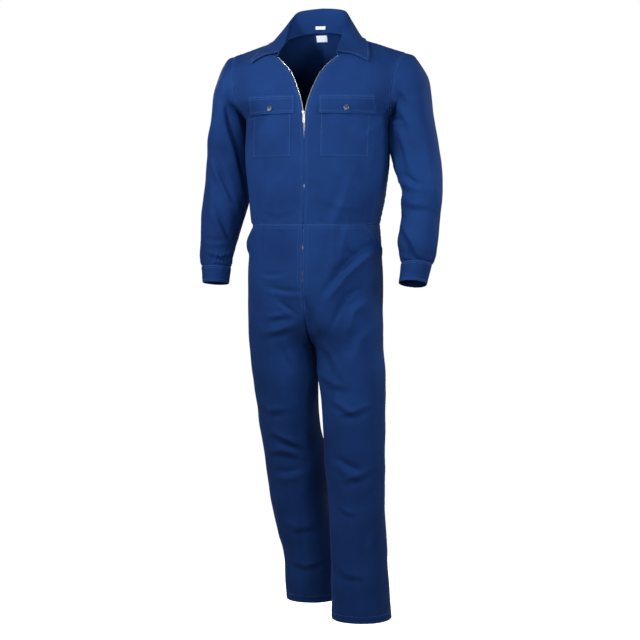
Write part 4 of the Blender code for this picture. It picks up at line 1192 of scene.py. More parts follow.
class Weave:
    """The node tree of one finish, with the few kinds of node that the finishes are made of."""

    def __init__(self, name: str, **sockets: object) -> None:
        """Starts a Principled material with constants on the shader's own sockets."""
        self.made, self.tree, self.shader = new_material(name, **sockets)

    def place(self, socket: str = "Object") -> bpy.types.NodeSocket:
        """Places on the object, or its grain as the socket UV."""
        if socket == "UV":
            return add_node(self.tree, "ShaderNodeUVMap", {"uv_map": "grain"}).outputs["UV"]
        return add_node(self.tree, "ShaderNodeTexCoord").outputs[socket]

    def noise(self, place: bpy.types.NodeSocket, scale: float, **inputs: float) -> bpy.types.NodeSocket:
        """Noise from 0 to 1."""
        return add_node(self.tree, "ShaderNodeTexNoise",
                        inputs={"Vector": place, "Scale": scale, **inputs}).outputs["Fac"]

    def ribs(self, place: bpy.types.NodeSocket, axis: str, apart: float,
             **inputs: float) -> bpy.types.NodeSocket:
        """Ribs across an axis, some metres apart."""
        named = {name.replace("_", " "): value for name, value in inputs.items()}
        return add_node(self.tree, "ShaderNodeTexWave", {"wave_type": "BANDS", "bands_direction": axis},
                        {"Vector": place, "Scale": .314 / apart, **named}).outputs["Fac"]

    def math(self, kind: str, *values: bpy.types.NodeSocket | float) -> bpy.types.NodeSocket:
        """A sum of arithmetic on up to three values."""
        return add_node(self.tree, "ShaderNodeMath", {"operation": kind}, dict(enumerate(values))).outputs[0]

    def scaled(self, value: bpy.types.NodeSocket, **ends: float) -> bpy.types.NodeSocket:
        """A value mapped from one range to another: From_Min, From_Max, To_Min and To_Max."""
        named = {name.replace("_", " "): end for name, end in ends.items()}
        return add_node(self.tree, "ShaderNodeMapRange", inputs={"Value": value, **named}).outputs["Result"]

    def mix(self, share: bpy.types.NodeSocket, low: object, high: str) -> bpy.types.NodeSocket:
        """A colour between two, by a share."""
        low = hex_colour(low) if isinstance(low, str) else low
        return add_node(self.tree, "ShaderNodeMix", {"data_type": "RGBA"},
                        {0: share, 6: low, 7: hex_colour(high)}).outputs[2]

    def relief(self, height: bpy.types.NodeSocket, strength: float, distance: float,
               **under: bpy.types.NodeSocket) -> bpy.types.NodeSocket:
        """A bump of some metres, over another where Normal is given."""
        return add_node(self.tree, "ShaderNodeBump", inputs={
            "Height": height, "Strength": strength, "Distance": distance, **under}).outputs["Normal"]

    def finish(self, **links: bpy.types.NodeSocket) -> bpy.types.Material:
        """Links sockets to the shader by name, and returns the material."""
        for socket, value in links.items():
            self.tree.links.new(value, self.shader.inputs[socket.replace("_", " ")])
        return self.made


@dataclass(frozen=True)
class TwillFinish:
    """Polyester and cotton twill, woven 2 over 1: matt, with a faint diagonal and a soft edge bloom. A
    painted highlight lightens it along its edges and seams.
    """

    name: str = "royal_blue_twill"
    deep: str = "#071d44"
    light: str = "#0d2c5c"
    # colour of the painted highlight along edges and seams
    worn: str = "#153c72"
    rib: float = .0016           # the real ribs are 0.7 mm apart; drawn coarser so that they show
    slub: float = .0011          # uneven yarn
    crumple: float = .016        # slight crushing of the cloth
    slant: float = -27.0         # degrees by which the diagonal turns from the grain

    def material(self) -> bpy.types.Material:
        """Builds the material."""
        weave = Weave(self.name, Roughness=.86, Sheen_Weight=.02, Sheen_Roughness=.4,
                      Sheen_Tint=hex_colour("#4f7fd8"), Specular_IOR_Level=.09)
        grain, place = weave.place("UV"), weave.place()
        turned = add_node(weave.tree, "ShaderNodeMapping", inputs={
            "Vector": grain, "Rotation": (0, 0, radians(self.slant))}).outputs["Vector"]
        ribs = weave.ribs(turned, "X", self.rib, Distortion=1.2, Detail=1.0, Detail_Scale=1.5)
        yarn = weave.noise(grain, 1 / self.slub, Detail=1.0)
        cloud = weave.noise(place, 9.0, Detail=3.0, Roughness=.55)
        crush = weave.noise(place, 1 / self.crumple, Detail=2.0)
        tone = weave.math("MULTIPLY_ADD", yarn, .34, weave.math("MULTIPLY_ADD", ribs, .30, cloud))
        cloth = weave.mix(weave.scaled(tone, From_Min=.45, From_Max=1.15), self.deep, self.light)
        # painted highlight: near its edges and seams the cloth turns towards the highlight tone, broken up by
        # the yarn
        wear = add_node(weave.tree, "ShaderNodeAttribute", {"attribute_name": "wear"}).outputs["Fac"]
        edge_highlight = weave.math("MULTIPLY", weave.math("MULTIPLY", wear, yarn), .45)
        soft = weave.relief(crush, .35, .0016)
        raised = weave.relief(weave.math("MULTIPLY_ADD", yarn, .6, ribs), .30, .00035, Normal=soft)
        return weave.finish(Base_Color=weave.mix(edge_highlight, cloth, self.worn), Normal=raised)


@dataclass(frozen=True)
class ThreadFinish:
    """Spun polyester sewing thread: a little brighter than the cloth, with a twist."""

    name: str = "sewing_thread"
    deep: str = "#0a2250"
    light: str = "#113164"
    twist: float = .0005

    def material(self) -> bpy.types.Material:
        """Builds the material."""
        weave = Weave(self.name, Roughness=.55, Sheen_Weight=.15)
        strands = weave.noise(weave.place(), 1 / self.twist, Detail=1.0)
        return weave.finish(Base_Color=weave.mix(strands, self.deep, self.light))


@dataclass(frozen=True)
class NickelFinish:
    """Nickel-plated brass, barrel polished: bright and slightly soft, with fine rubbing."""

    name: str = "nickel_plate"
    bright: str = "#c4c5c3"
    dull: str = "#8f908d"
    rub: float = .0012

    def material(self) -> bpy.types.Material:
        """Builds the material."""
        plate = Weave(self.name, Metallic=1.0)
        wear = plate.noise(plate.place(), 1 / self.rub, Detail=3.0)
        return plate.finish(Base_Color=plate.mix(wear, self.bright, self.dull),
                            Roughness=plate.scaled(wear, To_Min=.24, To_Max=.42),
                            Normal=plate.relief(wear, .12, .0001))


@dataclass(frozen=True)
class ButtonFinish:
    """Cast polyester button: dark grey blue with a faint cloud in it, polished by tumbling."""

    name: str = "dark_button"
    deep: str = "#1d252e"
    light: str = "#303b47"
    cloud: float = .006

    def material(self) -> bpy.types.Material:
        """Builds the material."""
        cast = Weave(self.name, Roughness=.34, Coat_Weight=.25, Coat_Roughness=.2)
        cloud = cast.noise(cast.place(), 1 / self.cloud, Detail=3.0, Distortion=1.2)
        return cast.finish(Base_Color=cast.mix(cloud, self.deep, self.light))


@dataclass(frozen=True)
class LabelFinish:
    """Woven satin tape: white, with fine ribs across it and no print."""

    name: str = "label_satin"
    deep: str = "#aab4c6"
    light: str = "#dfe4ee"
    rib: float = .0009           # the real ribs are 0.25 mm apart; drawn coarser so that they show

    def material(self) -> bpy.types.Material:
        """Builds the material."""
        satin = Weave(self.name, Roughness=.5, Sheen_Weight=.3)
        grain = satin.place("UV")
        ribs = satin.ribs(grain, "Y", self.rib, Distortion=.6)
        tone = satin.math("MULTIPLY_ADD", ribs, .35, satin.noise(grain, 160.0))
        return satin.finish(Base_Color=satin.mix(tone, self.deep, self.light),
                            Normal=satin.relief(ribs, .3, .0001))


@dataclass
class Finishes:
    """The suit's materials, made once."""

    twill: bpy.types.Material = field(default_factory=lambda: TwillFinish().material())
    tape: bpy.types.Material = field(default_factory=lambda: TwillFinish(
        name="zip_tape", deep="#061431", light="#0a1d44", rib=.0010).material())
    thread: bpy.types.Material = field(default_factory=lambda: ThreadFinish().material())
    nickel: bpy.types.Material = field(default_factory=lambda: NickelFinish().material())
    button: bpy.types.Material = field(default_factory=lambda: ButtonFinish().material())
    label: bpy.types.Material = field(default_factory=lambda: LabelFinish().material())


# ================================================================ sewing
@dataclass
class Stitching:
    """Rows of lockstitch: each stitch is a small spindle that lies half in the cloth."""

    finish: bpy.types.Material
    pitch: float = .0034         # real stitches are 2.8 mm apart
    length: float = .0027
    width: float = .0008

    def sew(self, name: str, lines: Iterable[Line]) -> bpy.types.Object:
        """Sews stitches along lines, as one object."""
        work = bmesh.new()
        for line in lines:
            self._row(work, line)
        piece = keep(name, work, self.finish)
        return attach(piece, "garment")

    def _row(self, work: bmesh.types.BMesh, line: Line) -> None:
        """Adds the stitches of one line."""
        lengths = run_lengths(line.points)
        spots = np.arange(self.pitch / 2, lengths[-1], self.pitch)
        if not len(spots):
            return
        centres, outs = read_along(lengths, line.points, spots), unit(read_along(lengths, line.outs, spots))
        ways = ways_along(lengths, line.points, spots)
        asides = unit(np.cross(outs, ways))
        for centre, out, way, aside in zip(centres, outs, ways, asides):
            turn = Matrix((way, aside, out)).transposed().to_4x4()
            size = Matrix.Diagonal((self.length / 2, self.width / 2, self.width * .4, 1))
            bmesh.ops.create_icosphere(work, subdivisions=1, radius=1,
                                       matrix=Matrix.Translation(Vector(centre)) @ turn @ size)


def skin_of(pieces: Iterable[bpy.types.Object]) -> BVHTree:
    """The outer faces of some pieces, to lay others on. It reads their meshes without their ply."""
    work = bmesh.new()
    for piece in pieces:
        work.from_mesh(piece.data)
    tree = BVHTree.FromBMesh(work)
    work.free()
    return tree


def lay_on(skin: BVHTree, points: Array, way: Array, lift: float) -> tuple[Array, Array]:
    """Drops points on a skin along a direction.

    Args:
        skin: What they are laid on.
        points: The points, in front of it.
        way: The direction in which they drop.
        lift: Metres that they stay above it.

    Returns:
        The points and the directions out of the skin.
    """
    spots, outs = [], []
    for point in points:
        spot, out, _, _ = skin.ray_cast(Vector(point), Vector(way))
        if spot is None:
            spot, out, _, _ = skin.find_nearest(Vector(point))
        out = out if out.dot(Vector(way)) < 0 else -out
        spots.append(spot + out * lift)
        outs.append(out)
    return np.array(spots), np.array(outs)


@dataclass
class Patch:
    """A flat cut laid on a skin: u across and v up, each from 0 to 1."""

    skin: BVHTree
    corner: tuple[float, float, float]      # lower corner nearest the middle of the body, X, start Y and Z
    size: tuple[float, float]
    sign: int
    lift: float
    way: tuple[float, float, float] = AHEAD
    outward: float = 1

    def at(self, u: Array, v: Array) -> Array:
        """Points of the patch."""
        x = self.corner[0] + self.sign * self.size[0] * u
        z = self.corner[2] + self.size[1] * v
        start = np.stack([x, np.full(len(x), self.corner[1]), z], 1)
        way = np.array(self.way)
        return lay_on(self.skin, start, way, 0)[0] - way * self.lift


# ================================================================ the top
def radial(points: Array, z_from: float, z_to: float) -> tuple[Array, Array]:
    """Directions level and away from the trunk's middle, and how far they hold below a height.

    Args:
        points: Points of the lattice.
        z_from: Height at which they begin to hold, going down.
        z_to: Height below which they hold fully.

    Returns:
        The directions, and the share that holds.
    """
    middle = lean_at(points[..., 2].ravel()).reshape(points.shape[:-1])
    x = (points[..., 0] - middle) / TRUNK_HALF_WIDTH
    y = (points[..., 1] - TRUNK_MIDDLE_Y) / TRUNK_HALF_DEPTH
    outs = unit(np.stack([x / TRUNK_HALF_WIDTH, y / TRUNK_HALF_DEPTH, np.zeros_like(x)], -1))
    return outs, 1 - step(points[..., 2], z_to, z_from)


@dataclass
class Top:
    """The fronts and the back, from the waist seam to the shoulders."""

    finishes: Finishes
    stitching: Stitching
    ply: float = .0010
    partings: tuple[Parting, ...] = (
        Parting(-.224, .022, .0015), Parting(-.387, .007, .0011), Parting(-.455, .006, .0008))
    pieces: dict[str, bpy.types.Object] = field(default_factory=dict)
    cloths: dict[str, Cloth] = field(default_factory=dict)

    def build(self) -> None:
        """Makes the three pieces and their sewing."""
        for side in Side:
            self._front(side)
        self._back()
        lines = []
        for side in Side:
            cloth = self.cloths["front_" + side.word]
            end = self.neck_share(side)
            lines += [cloth.line("inner", .007, 0, end), cloth.line("high", .002), cloth.line("outer", .0022),
                      cloth.line("low", .0025)]
            half = self.cloths["back_" + side.word]
            lines += [half.line("high", .0065), half.line("outer", .0065), half.line("low", .0025)]
        self.stitching.sew("top_stitching", lines)

    @staticmethod
    def neck_share(side: Side) -> float:
        """The share of a front's height at which its lapel ends."""
        return float(top_panel(side, True).marks[-3])

    def _lattice(self, panel: Panel) -> tuple[Array, Array]:
        """Lattice lines of a top panel, with one through each corner of its outline."""
        u = cells(span_of(panel, 0, False))
        heights = [0, panel.marks[panel.corners[1]], panel.marks[-3], 1]
        parts = [low + (high - low) * cells(span_of(panel, 1, True, low, high))
                 for low, high in zip(heights, heights[1:])]
        return u, np.unique(np.concatenate(parts).round(7))

    @staticmethod
    def _calm(cloth: Cloth, front: bool) -> Array:
        """Holds the creases back beside the shoulder, the armhole and a front's neck."""
        points = cloth.points
        shoulder = 1 - step(points[..., 2], -.10, -.03)
        arm = step(cloth.width - cloth.across, 0, .022)
        neck = step(cloth.across, 0, .016) if front else np.ones_like(cloth.across)
        above = step(points[..., 2], ARMPIT_Z - .03, ARMPIT_Z + .01)
        return (.15 + .85 * shoulder) * (1 - above * (1 - arm)) * (1 - above * (1 - neck))

    def _front(self, side: Side) -> None:
        """A front, cut to the zip and the lapel."""
        panel = top_panel(side, True)
        cloth = Cloth(panel, *self._lattice(panel))
        cloth.steer(*radial(cloth.points, -.22, -.28))
        cloth.crease((Zone.TRUNK,), self._calm(cloth, True), 5)
        cloth.sew_edges(Edging(inner=Edge.FREE, outer=Edge.ARMHOLE, low=Edge.WAIST))
        cloth.part(side, self.partings)
        name = "front_" + side.word
        self.cloths[name] = cloth
        piece = cloth.make(name + "_cloth", self.finishes.twill, self.ply)
        self.pieces[name] = dress(piece, name)

    def _back(self) -> None:
        """The back, two halves joined down the centre."""
        work = bmesh.new()
        for side in Side:
            panel = top_panel(side, False)
            cloth = Cloth(panel, *self._lattice(panel))
            near = np.abs(cloth.points[:, :1, 0] - lean_at(cloth.points[:, 0, 2])[:, None]) < .004
            centre = np.zeros((cloth.rows, cloth.cols), bool)
            centre[:, :1] = near
            cloth.outs[centre] = unit(cloth.outs[centre] * (0, 1, 1))
            cloth.steer(*radial(cloth.points, -.22, -.28))
            cloth.crease((Zone.TRUNK,), self._calm(cloth, False), 5)
            cloth.sew_edges(Edging(inner=Edge.PLAIN, outer=Edge.ARMHOLE, low=Edge.WAIST))
            cloth.points[..., 0][centre] = lean_at(cloth.points[..., 2][centre])
            cloth.fill(work)
            self.cloths["back_" + side.word] = cloth
        merge(work, 2e-5)
        piece = ply(keep("back_cloth", work, self.finishes.twill), self.ply)
        self.pieces["back"] = dress(piece, "back")


@dataclass
class Sleeve:
    """A set-in sleeve with its buttoned cuff."""

    side: Side
    finishes: Finishes
    stitching: Stitching
    ply: float = .0010
    cuff_ply: float = .0018
    underarm: float = .0065      # how far the left sleeve's underside is pressed out against the body

    def build(self) -> None:
        """Makes the sleeve, the cuff and their sewing."""
        lines = []
        self._cuff(self._sleeve(lines), lines)
        self.stitching.sew("sleeve_stitching_" + self.side.word, lines)
        log.info("sleeve_%s and cuff_%s", self.side.word, self.side.word)

    def _sleeve(self, lines: list[Line]) -> bpy.types.Object:
        """Makes the sleeve, adds its seams to the lines to sew, and returns it."""
        left = self.side is Side.LEFT
        surface = SleeveSurface(self.side, ARMS[self.side])
        u = cells(span_of(surface, .3, False))
        v = cells(span_of(surface, .25, True))
        cloth = Cloth(surface, u, v)
        seam = unit(cloth.outs[:, :1] + cloth.outs[:, -1:])
        cloth.outs[:, :1] = cloth.outs[:, -1:] = seam
        calm = step(cloth.along, 0, .018) * step(cloth.height - cloth.along, 0, .012)
        cloth.crease((Zone.LEFT_ARM if left else Zone.RIGHT_ARM,), calm, 11, .9)
        if left:
            z, low = cloth.points[..., 2], np.minimum(cloth.across, cloth.width - cloth.across)
            cloth.raise_by(self.underarm * np.exp(-(low / .030) ** 2) * step(z, -.330, -.285)
                           * (1 - step(z, -.225, -.200)))
        cloth.sew_edges(Edging(low=Edge.ARMHOLE, high=Edge.GATHER))
        cloth.points[:, -1] = cloth.points[:, 0]
        work = bmesh.new()
        cloth.fill(work)
        merge(work)
        name = "sleeve_" + self.side.word
        piece = ply(keep(name + "_cloth", work, self.finishes.twill), self.ply)
        dress(piece, name)
        lines += [cloth.line("low", .0025), cloth.line("inner", .0022), cloth.line("inner", .0072)]
        return piece

    def _cuff(self, piece: bpy.types.Object, lines: list[Line]) -> None:
        """Makes the cuff at the end of the sleeve, and adds its rows to the lines to sew."""
        surface = cuff_surface(self.side)
        cuff = Cloth(surface, cells(span_of(surface, .5, False)), cells(.052, .0035))
        cuff.crease((), 1, 17, .5)
        cuff.sew_edges(Edging(Edge.FREE, Edge.FREE, Edge.SEAM, Edge.FREE))
        name = "cuff_" + self.side.word
        band = dress(cuff.make(name + "_cloth", self.finishes.twill, self.cuff_ply, .0006), name)
        lines += [cuff.line(edge, gap) for edge, gap in (("low", .002), ("low", .0075), ("high", .006),
                                                         ("outer", .0025), ("inner", .0025))]


@dataclass
class Collar:
    """The turn-down collar with its roll. Its leaf lies on the top."""

    finishes: Finishes
    stitching: Stitching
    ply: float = .0016
    clearance: float = .0032
    face: float = .0018          # from the pattern's surface to the face that shows

    def build(self, skin: BVHTree) -> None:
        """Makes the collar and its sewing."""
        surface = CollarSurface()
        u = cells(span_of(surface, .9, False), .005)
        v = cells(span_of(surface, .5, True), .004)
        cloth = Cloth(surface, u, v)
        needed = self.clearance * np.clip((v - .5) / .12, 0, 1)
        flat = cloth.points.reshape(-1, 3)
        for k, point in enumerate(flat):
            if not needed[k // cloth.cols]:
                continue
            spot, up, _, _ = skin.find_nearest(Vector(point))
            up = np.array(up if up.z > 0 else -up)
            flat[k] = point + up * max(needed[k // cloth.cols] - (point - np.array(spot)) @ up, 0)
        cloth.points = flat.reshape(cloth.points.shape)
        cloth.raise_by(self.face)
        cloth.crease((), step(cloth.along, 0, .02), 23, .6)
        cloth.sew_edges(Edging(Edge.FREE, Edge.FREE, Edge.SEAM, Edge.FREE))
        piece = dress(cloth.make("collar_cloth", self.finishes.twill, self.ply, .0005), "collar")
        self.stitching.sew("collar_stitching", [cloth.line("high", .006), cloth.line("inner", .006, .45),
                                                cloth.line("outer", .006, .45), cloth.line("low", .002)])
        log.info("collar")


# ================================================================ trousers
@dataclass
class Trousers:
    """The trousers: four panels, and the facings behind the slanted pocket mouths."""

    finishes: Finishes
    stitching: Stitching
    ply: float = .0010
    hem: float = .022
    mouth_u: float = .66         # where the pocket mouth leaves the waist seam, across the front
    mouth_drop: float = .088
    facing_lap: float = .022
    facing_depth: float = .0019
    gape: float = .0105          # how far the mouth stands off its facing
    easing: int = 90             # rounds of smoothing where each leg leaves the seat
    fly_gap: float = .0120       # from the zip's centre to the stitching of the fly
    fly_foot: float = -.6430     # height of that stitching's foot
    partings: tuple[Parting, ...] = (Parting(-.496), Parting(-.540), Parting(-.606), Parting(-.622))

    def build(self) -> None:
        """Makes the panels, the facings and their sewing."""
        for side in Side:
            lines = []
            for half, name in ((-1, "trouser_front_"), (1, "trouser_back_")):
                cloth = self._panel(side, half)
                work = bmesh.new()
                cloth.fill(work)
                lines += [cloth.line("low", .018), cloth.line("outer", .0025)]
                if half < 0:
                    upper, away = self.mouth(side)
                    self._cut(work, upper, away)
                    lines += [self._clear(cloth.line("high", gap), upper, away) for gap in (.0025, .010)]
                    lines += [cloth.line("inner", .0030, .78, 1), self._fly_line(cloth),
                              self._mouth_line(cloth, upper, away, .006)]
                    self._facing(side, upper, away)
                else:
                    lines += [cloth.line("high", gap) for gap in (.0025, .010)]
                    lines += [cloth.line("outer", .0075), cloth.line("inner", .0025),
                              cloth.line("inner", .0075)]
                name += side.word
                piece = ply(keep(name + "_cloth", work, self.finishes.twill), self.ply)
                dress(piece, name)
                log.info(name)
            self.stitching.sew("trouser_stitching_" + side.word, lines)

    @staticmethod
    def leg_outs(points: Array, side: Side) -> Array:
        """Directions level and away from the middle of a leg."""
        rings = np.array(LEGS[side])
        z = points[..., 2]
        x = points[..., 0] - np.interp(z, rings[:, 2], rings[:, 0])
        y = points[..., 1] - np.interp(z, rings[:, 2], rings[:, 1])
        return unit(np.stack([x, y, np.zeros_like(x)], -1))

    def _steered(self, panel: Panel, side: Side, u: Array, v: Array, hem: float = 0.0) -> Cloth:
        """A lattice whose directions are those that neighbouring panels share."""
        cloth = Cloth(panel, u, v, hem)
        inner = step(cloth.across, .004, .05)
        cloth.relax(inner * np.exp(-((cloth.points[..., 2] + .800) / .042) ** 4), self.easing)
        z = cloth.points[..., 2]
        cloth.steer(self.leg_outs(cloth.points, side), 1 - step(z, -.86, -.80))
        outs, _ = radial(cloth.points, 0, 0)
        cloth.steer(outs, step(z, -.76, -.70))
        return cloth

    def _panel(self, side: Side, half: int) -> Cloth:
        """A trouser front or back with its creases."""
        panel = trouser_panel(side, half)
        v = cells(span_of(panel, 1, True))
        crotch = panel.marks[panel.corners[0]]
        v[np.argmin(np.abs(v - crotch))] = crotch
        cloth = self._steered(panel, side, cells(span_of(panel, .35, False)), v, self.hem)
        z = cloth.points[..., 2]
        seat = np.exp(-((z + .785) / .035) ** 2)
        calm = (1 - seat * (1 - step(cloth.across, 0, .05))) * step(z, -1.56, -1.47)
        leg = Zone.LEFT_LEG if side is Side.LEFT else Zone.RIGHT_LEG
        cloth.crease((Zone.TRUNK, leg), calm, 5, .8)
        cloth.sew_edges(Edging(inner=Edge.FREE if half < 0 else Edge.SEAM, high=Edge.WAIST, low=Edge.FREE))
        cloth.fold_hem()
        if half < 0:
            cloth.part(side, self.partings)
            upper, away = self.mouth(side)
            beyond = (cloth.points - upper) @ away
            down = np.clip((upper[2] - cloth.points[..., 2]) / self.mouth_drop, 0, 1)
            cloth.raise_by(self.gape * np.exp(beyond / .014) * np.sin(pi * down ** 1.3) * (beyond < .003))
        return cloth

    def mouth(self, side: Side) -> tuple[Array, Array]:
        """The pocket mouth: its upper end, and the direction towards the side seam."""
        panel = trouser_panel(side, -1)
        upper = panel.at(np.array([self.mouth_u]), np.array([1.0]))[0]
        heights = np.linspace(0, 1, 401)
        seam = panel.at(np.ones(401), heights)
        run = unit(seam[np.argmax(seam[:, 2] > WAIST_Z - self.mouth_drop)] - upper)
        out = direction(panel, np.array([self.mouth_u + .15]), np.array([.97]))[0]
        away = unit(np.cross(run, out))
        return upper, away if away[2] > 0 else -away

    @staticmethod
    def _cut(work: bmesh.types.BMesh, point: Array, away: Array) -> None:
        """Cuts off what lies beyond a plane."""
        parts = work.verts[:] + work.edges[:] + work.faces[:]
        bmesh.ops.bisect_plane(work, geom=parts, plane_co=Vector(point), plane_no=Vector(away),
                               clear_outer=True)

    @staticmethod
    def _clear(line: Line, upper: Array, away: Array) -> Line:
        """The part of a line that the pocket mouth leaves."""
        inside = (line.points - upper) @ away < -.004
        return Line(line.points[inside], line.outs[inside])

    def _mouth_line(self, cloth: Cloth, upper: Array, away: Array, gap: float) -> Line:
        """A stitch line beside the pocket mouth."""
        points, outs = [], []
        for k in range(cloth.rows):
            row, beyond = cloth.points[k], (cloth.points[k] - upper) @ away
            if beyond[0] < -gap < beyond[-1]:
                order = np.argsort(beyond)
                points.append(read_along(beyond[order], row[order], -gap))
                outs.append(read_along(beyond[order], cloth.outs[k][order], -gap))
        return Line(np.array(points), unit(np.array(outs)))

    def _fly_line(self, cloth: Cloth) -> Line:
        """Half of the U that holds the fly: down beside the zip, and round to the centre under it."""
        points, outs = [], []
        for k in range(cloth.rows - 1, -1, -1):
            above = cloth.points[k, 0, 2] - self.fly_foot
            if above > 0:
                gap = self.fly_gap * sin(acos(1 - min(above / self.fly_gap, 1)))
                points.append(read_along(cloth.across[k], cloth.points[k], gap))
                outs.append(read_along(cloth.across[k], cloth.outs[k], gap))
        return Line(np.array(points), unit(np.array(outs)))

    def _facing(self, side: Side, upper: Array, away: Array) -> None:
        """The facing that fills the pocket mouth, behind the front."""
        panel = trouser_panel(side, -1)
        cloth = self._steered(panel, side, .45 + .55 * cells(.14), .80 + .20 * cells(.14))
        cloth.raise_by(-self.facing_depth)
        cloth.sew_edges(Edging(inner=Edge.PLAIN, low=Edge.PLAIN, high=Edge.PLAIN, outer=Edge.SEAM))
        work = bmesh.new()
        cloth.fill(work)
        self._cut(work, upper - away * self.facing_lap, -away)
        self._cut(work, np.array((0, 0, WAIST_Z - self.mouth_drop - self.facing_lap)), np.array((0, 0, -1)))
        name = "hip_pocket_" + side.word
        piece = ply(keep(name + "_cloth", work, self.finishes.twill), self.ply)
        dress(piece, name)


# ================================================================ chest pockets
@dataclass
class ChestPocket:
    """A patch pocket with its buttoned flap."""

    side: Side
    finishes: Finishes
    stitching: Stitching
    pocket_x: dict[Side, float] = field(default_factory=lambda: {Side.LEFT: .042, Side.RIGHT: .0345})
    pocket_size: tuple[float, float] = (.112, .140)
    pocket_top: float = -.172
    flap_x: dict[Side, float] = field(default_factory=lambda: {Side.LEFT: .037, Side.RIGHT: .0250})
    flap_size: tuple[float, float] = (.133, .047)
    flap_top: float = -.157
    pocket_lift: float = .0012
    flap_lift: float = .0022
    cell: float = .004
    button_drop: float = .68     # share of the flap's depth at which its button sits

    def build(self, front: bpy.types.Object) -> BVHTree:
        """Makes the pocket, the flap and their sewing, and returns the flap's skin for its button."""
        word = self.side.word
        pocket = self._laid([front], self.pocket_x, self.pocket_top, self.pocket_size, self.pocket_lift)
        pocket.crease((), 1, 31, .35)
        self._belly(pocket, .0016)
        pocket.sew_edges(Edging(Edge.FREE, Edge.FREE, Edge.FREE, Edge.PLAIN))
        piece = self._make("chest_pocket_" + word, pocket, .0009, .0003)

        flap = self._laid([front, piece], self.flap_x, self.flap_top, self.flap_size, self.flap_lift)
        flap.relax(np.ones((flap.rows, flap.cols)), 14)
        flap.crease((), 1, 37, .35)
        lift = .0016 * np.exp(-flap.along / .012) * (1 + .6 * np.sin(flap.across * 95 + self.side.value))
        flap.raise_by(lift)
        flap.sew_edges(Edging(Edge.FREE, Edge.FREE, Edge.FREE, Edge.SEAM))
        cover = self._make("chest_flap_" + word, flap, .0015, .0004)
        lines = [flap.line(edge, gap) for edge, gap in (("inner", .0055), ("outer", .0055), ("low", .0055),
                                                        ("high", .0025), ("high", .0075))]
        lines += [pocket.line(edge, .0022) for edge in ("inner", "outer", "low")]
        self.stitching.sew("pocket_stitching_" + word, lines)
        log.info("chest_pocket_%s and chest_flap_%s", word, word)
        return skin_of([cover])

    def button_spot(self, skin: BVHTree) -> tuple[Vector, Vector]:
        """Where the flap's button sits, and the way it faces."""
        reach = self.flap_x[self.side] + self.flap_size[0] / 2
        x = float(lean_at(self.flap_top)[0]) + self.side.value * reach
        z = self.flap_top - self.flap_size[1] * self.button_drop
        spots, outs = lay_on(skin, np.array([(x, BEFORE_Y, z)]), np.array(AHEAD), .0003)
        return Vector(spots[0]), Vector(outs[0])

    def _laid(self, under: list[bpy.types.Object], inner_x: dict[Side, float], top: float,
              size: tuple[float, float], lift: float) -> Cloth:
        """A cut laid over some pieces, from its top down and from its inner edge outwards."""
        sign = self.side.value
        corner = (float(lean_at(top)[0]) + sign * inner_x[self.side], BEFORE_Y, top - size[1])
        patch = Patch(skin_of(under), corner, size, sign, lift, outward=sign)
        return Cloth(patch, cells(size[0], self.cell), cells(size[1], self.cell))

    @staticmethod
    def _belly(cloth: Cloth, height: float) -> None:
        """Lets the middle of the pocket stand a little off the front."""
        u, v = cloth.across / cloth.width, cloth.along / cloth.height
        cloth.raise_by(height * np.sin(pi * u) * (.35 + .65 * v) * step(v, 0, .12))

    def _make(self, name: str, cloth: Cloth, thickness: float, rounded: float) -> bpy.types.Object:
        """Turns a laid cut into a piece."""
        return dress(cloth.make(name + "_cloth", self.finishes.twill, thickness, rounded), name)


# ================================================================ buttons
@dataclass
class Button:
    """A four-hole button with a raised rim, sewn on with a cross of thread."""

    finish: bpy.types.Material
    thread: bpy.types.Material
    radius: float
    thickness: float = .0028
    hole: float = .0009          # radius of a hole
    spread: float = .0021        # from the middle to a hole

    def place(self, name: str, spot: Vector, out: Vector) -> None:
        """Makes the button on a spot of the cloth, facing out."""
        r, h = self.radius, self.thickness
        work = bmesh.new()
        profile = ((.0, 0), (r * .80, 0), (r * .97, h * .28), (r, h * .5), (r * .97, h * .82), (r * .90, h),
                   (r * .80, h * .94), (r * .72, h * .70), (r * .55, h * .60), (0, h * .58))
        verts = [work.verts.new((x, 0, z)) for x, z in profile]
        edges = [work.edges.new(pair) for pair in zip(verts, verts[1:])]
        bmesh.ops.spin(work, geom=verts + edges, cent=(0, 0, 0), axis=(0, 0, 1), angle=2 * pi, steps=40,
                       use_merge=True)
        bmesh.ops.remove_doubles(work, verts=work.verts, dist=1e-6)
        bmesh.ops.recalc_face_normals(work, faces=work.faces)
        body = keep(name + "_disc", work, self.finish)
        drill = bmesh.new()
        for k in range(4):
            angle = pi / 4 + pi / 2 * k
            where = Matrix.Translation((self.spread * cos(angle), self.spread * sin(angle), h / 2))
            bmesh.ops.create_cone(drill, cap_ends=True, segments=12, radius1=self.hole, radius2=self.hole,
                                  depth=2 * h, matrix=where)
        tool = keep(name + "_drill", drill, self.finish)
        holes = body.modifiers.new("holes", "BOOLEAN")
        holes.operation = "DIFFERENCE"
        holes.object = tool
        shape = body.evaluated_get(bpy.context.evaluated_depsgraph_get())
        mesh = bpy.data.meshes.new_from_object(shape)
        body.modifiers.clear()
        body.data = mesh
        mesh.shade_smooth()
        mesh.set_sharp_from_angle(angle=radians(40))
        turn = out.to_track_quat("Z", "Y").to_matrix().to_4x4()
        where = Matrix.Translation(spot) @ turn
        mesh.transform(where)
        bpy.data.objects.remove(tool)
        dress(body, name)

        work = bmesh.new()
        for angle in (pi / 4, 3 * pi / 4):
            size = Matrix.Diagonal((self.spread * 1.25, .0005, .0004, 1))
            bmesh.ops.create_icosphere(work, subdivisions=2, radius=1, matrix=Matrix.Translation(
                (0, 0, h * .66)) @ Matrix.Rotation(angle, 4, "Z") @ size)
        bmesh.ops.transform(work, matrix=where, verts=work.verts)
        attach(keep(name + "_thread", work, self.thread), "garment")
        log.info(name)


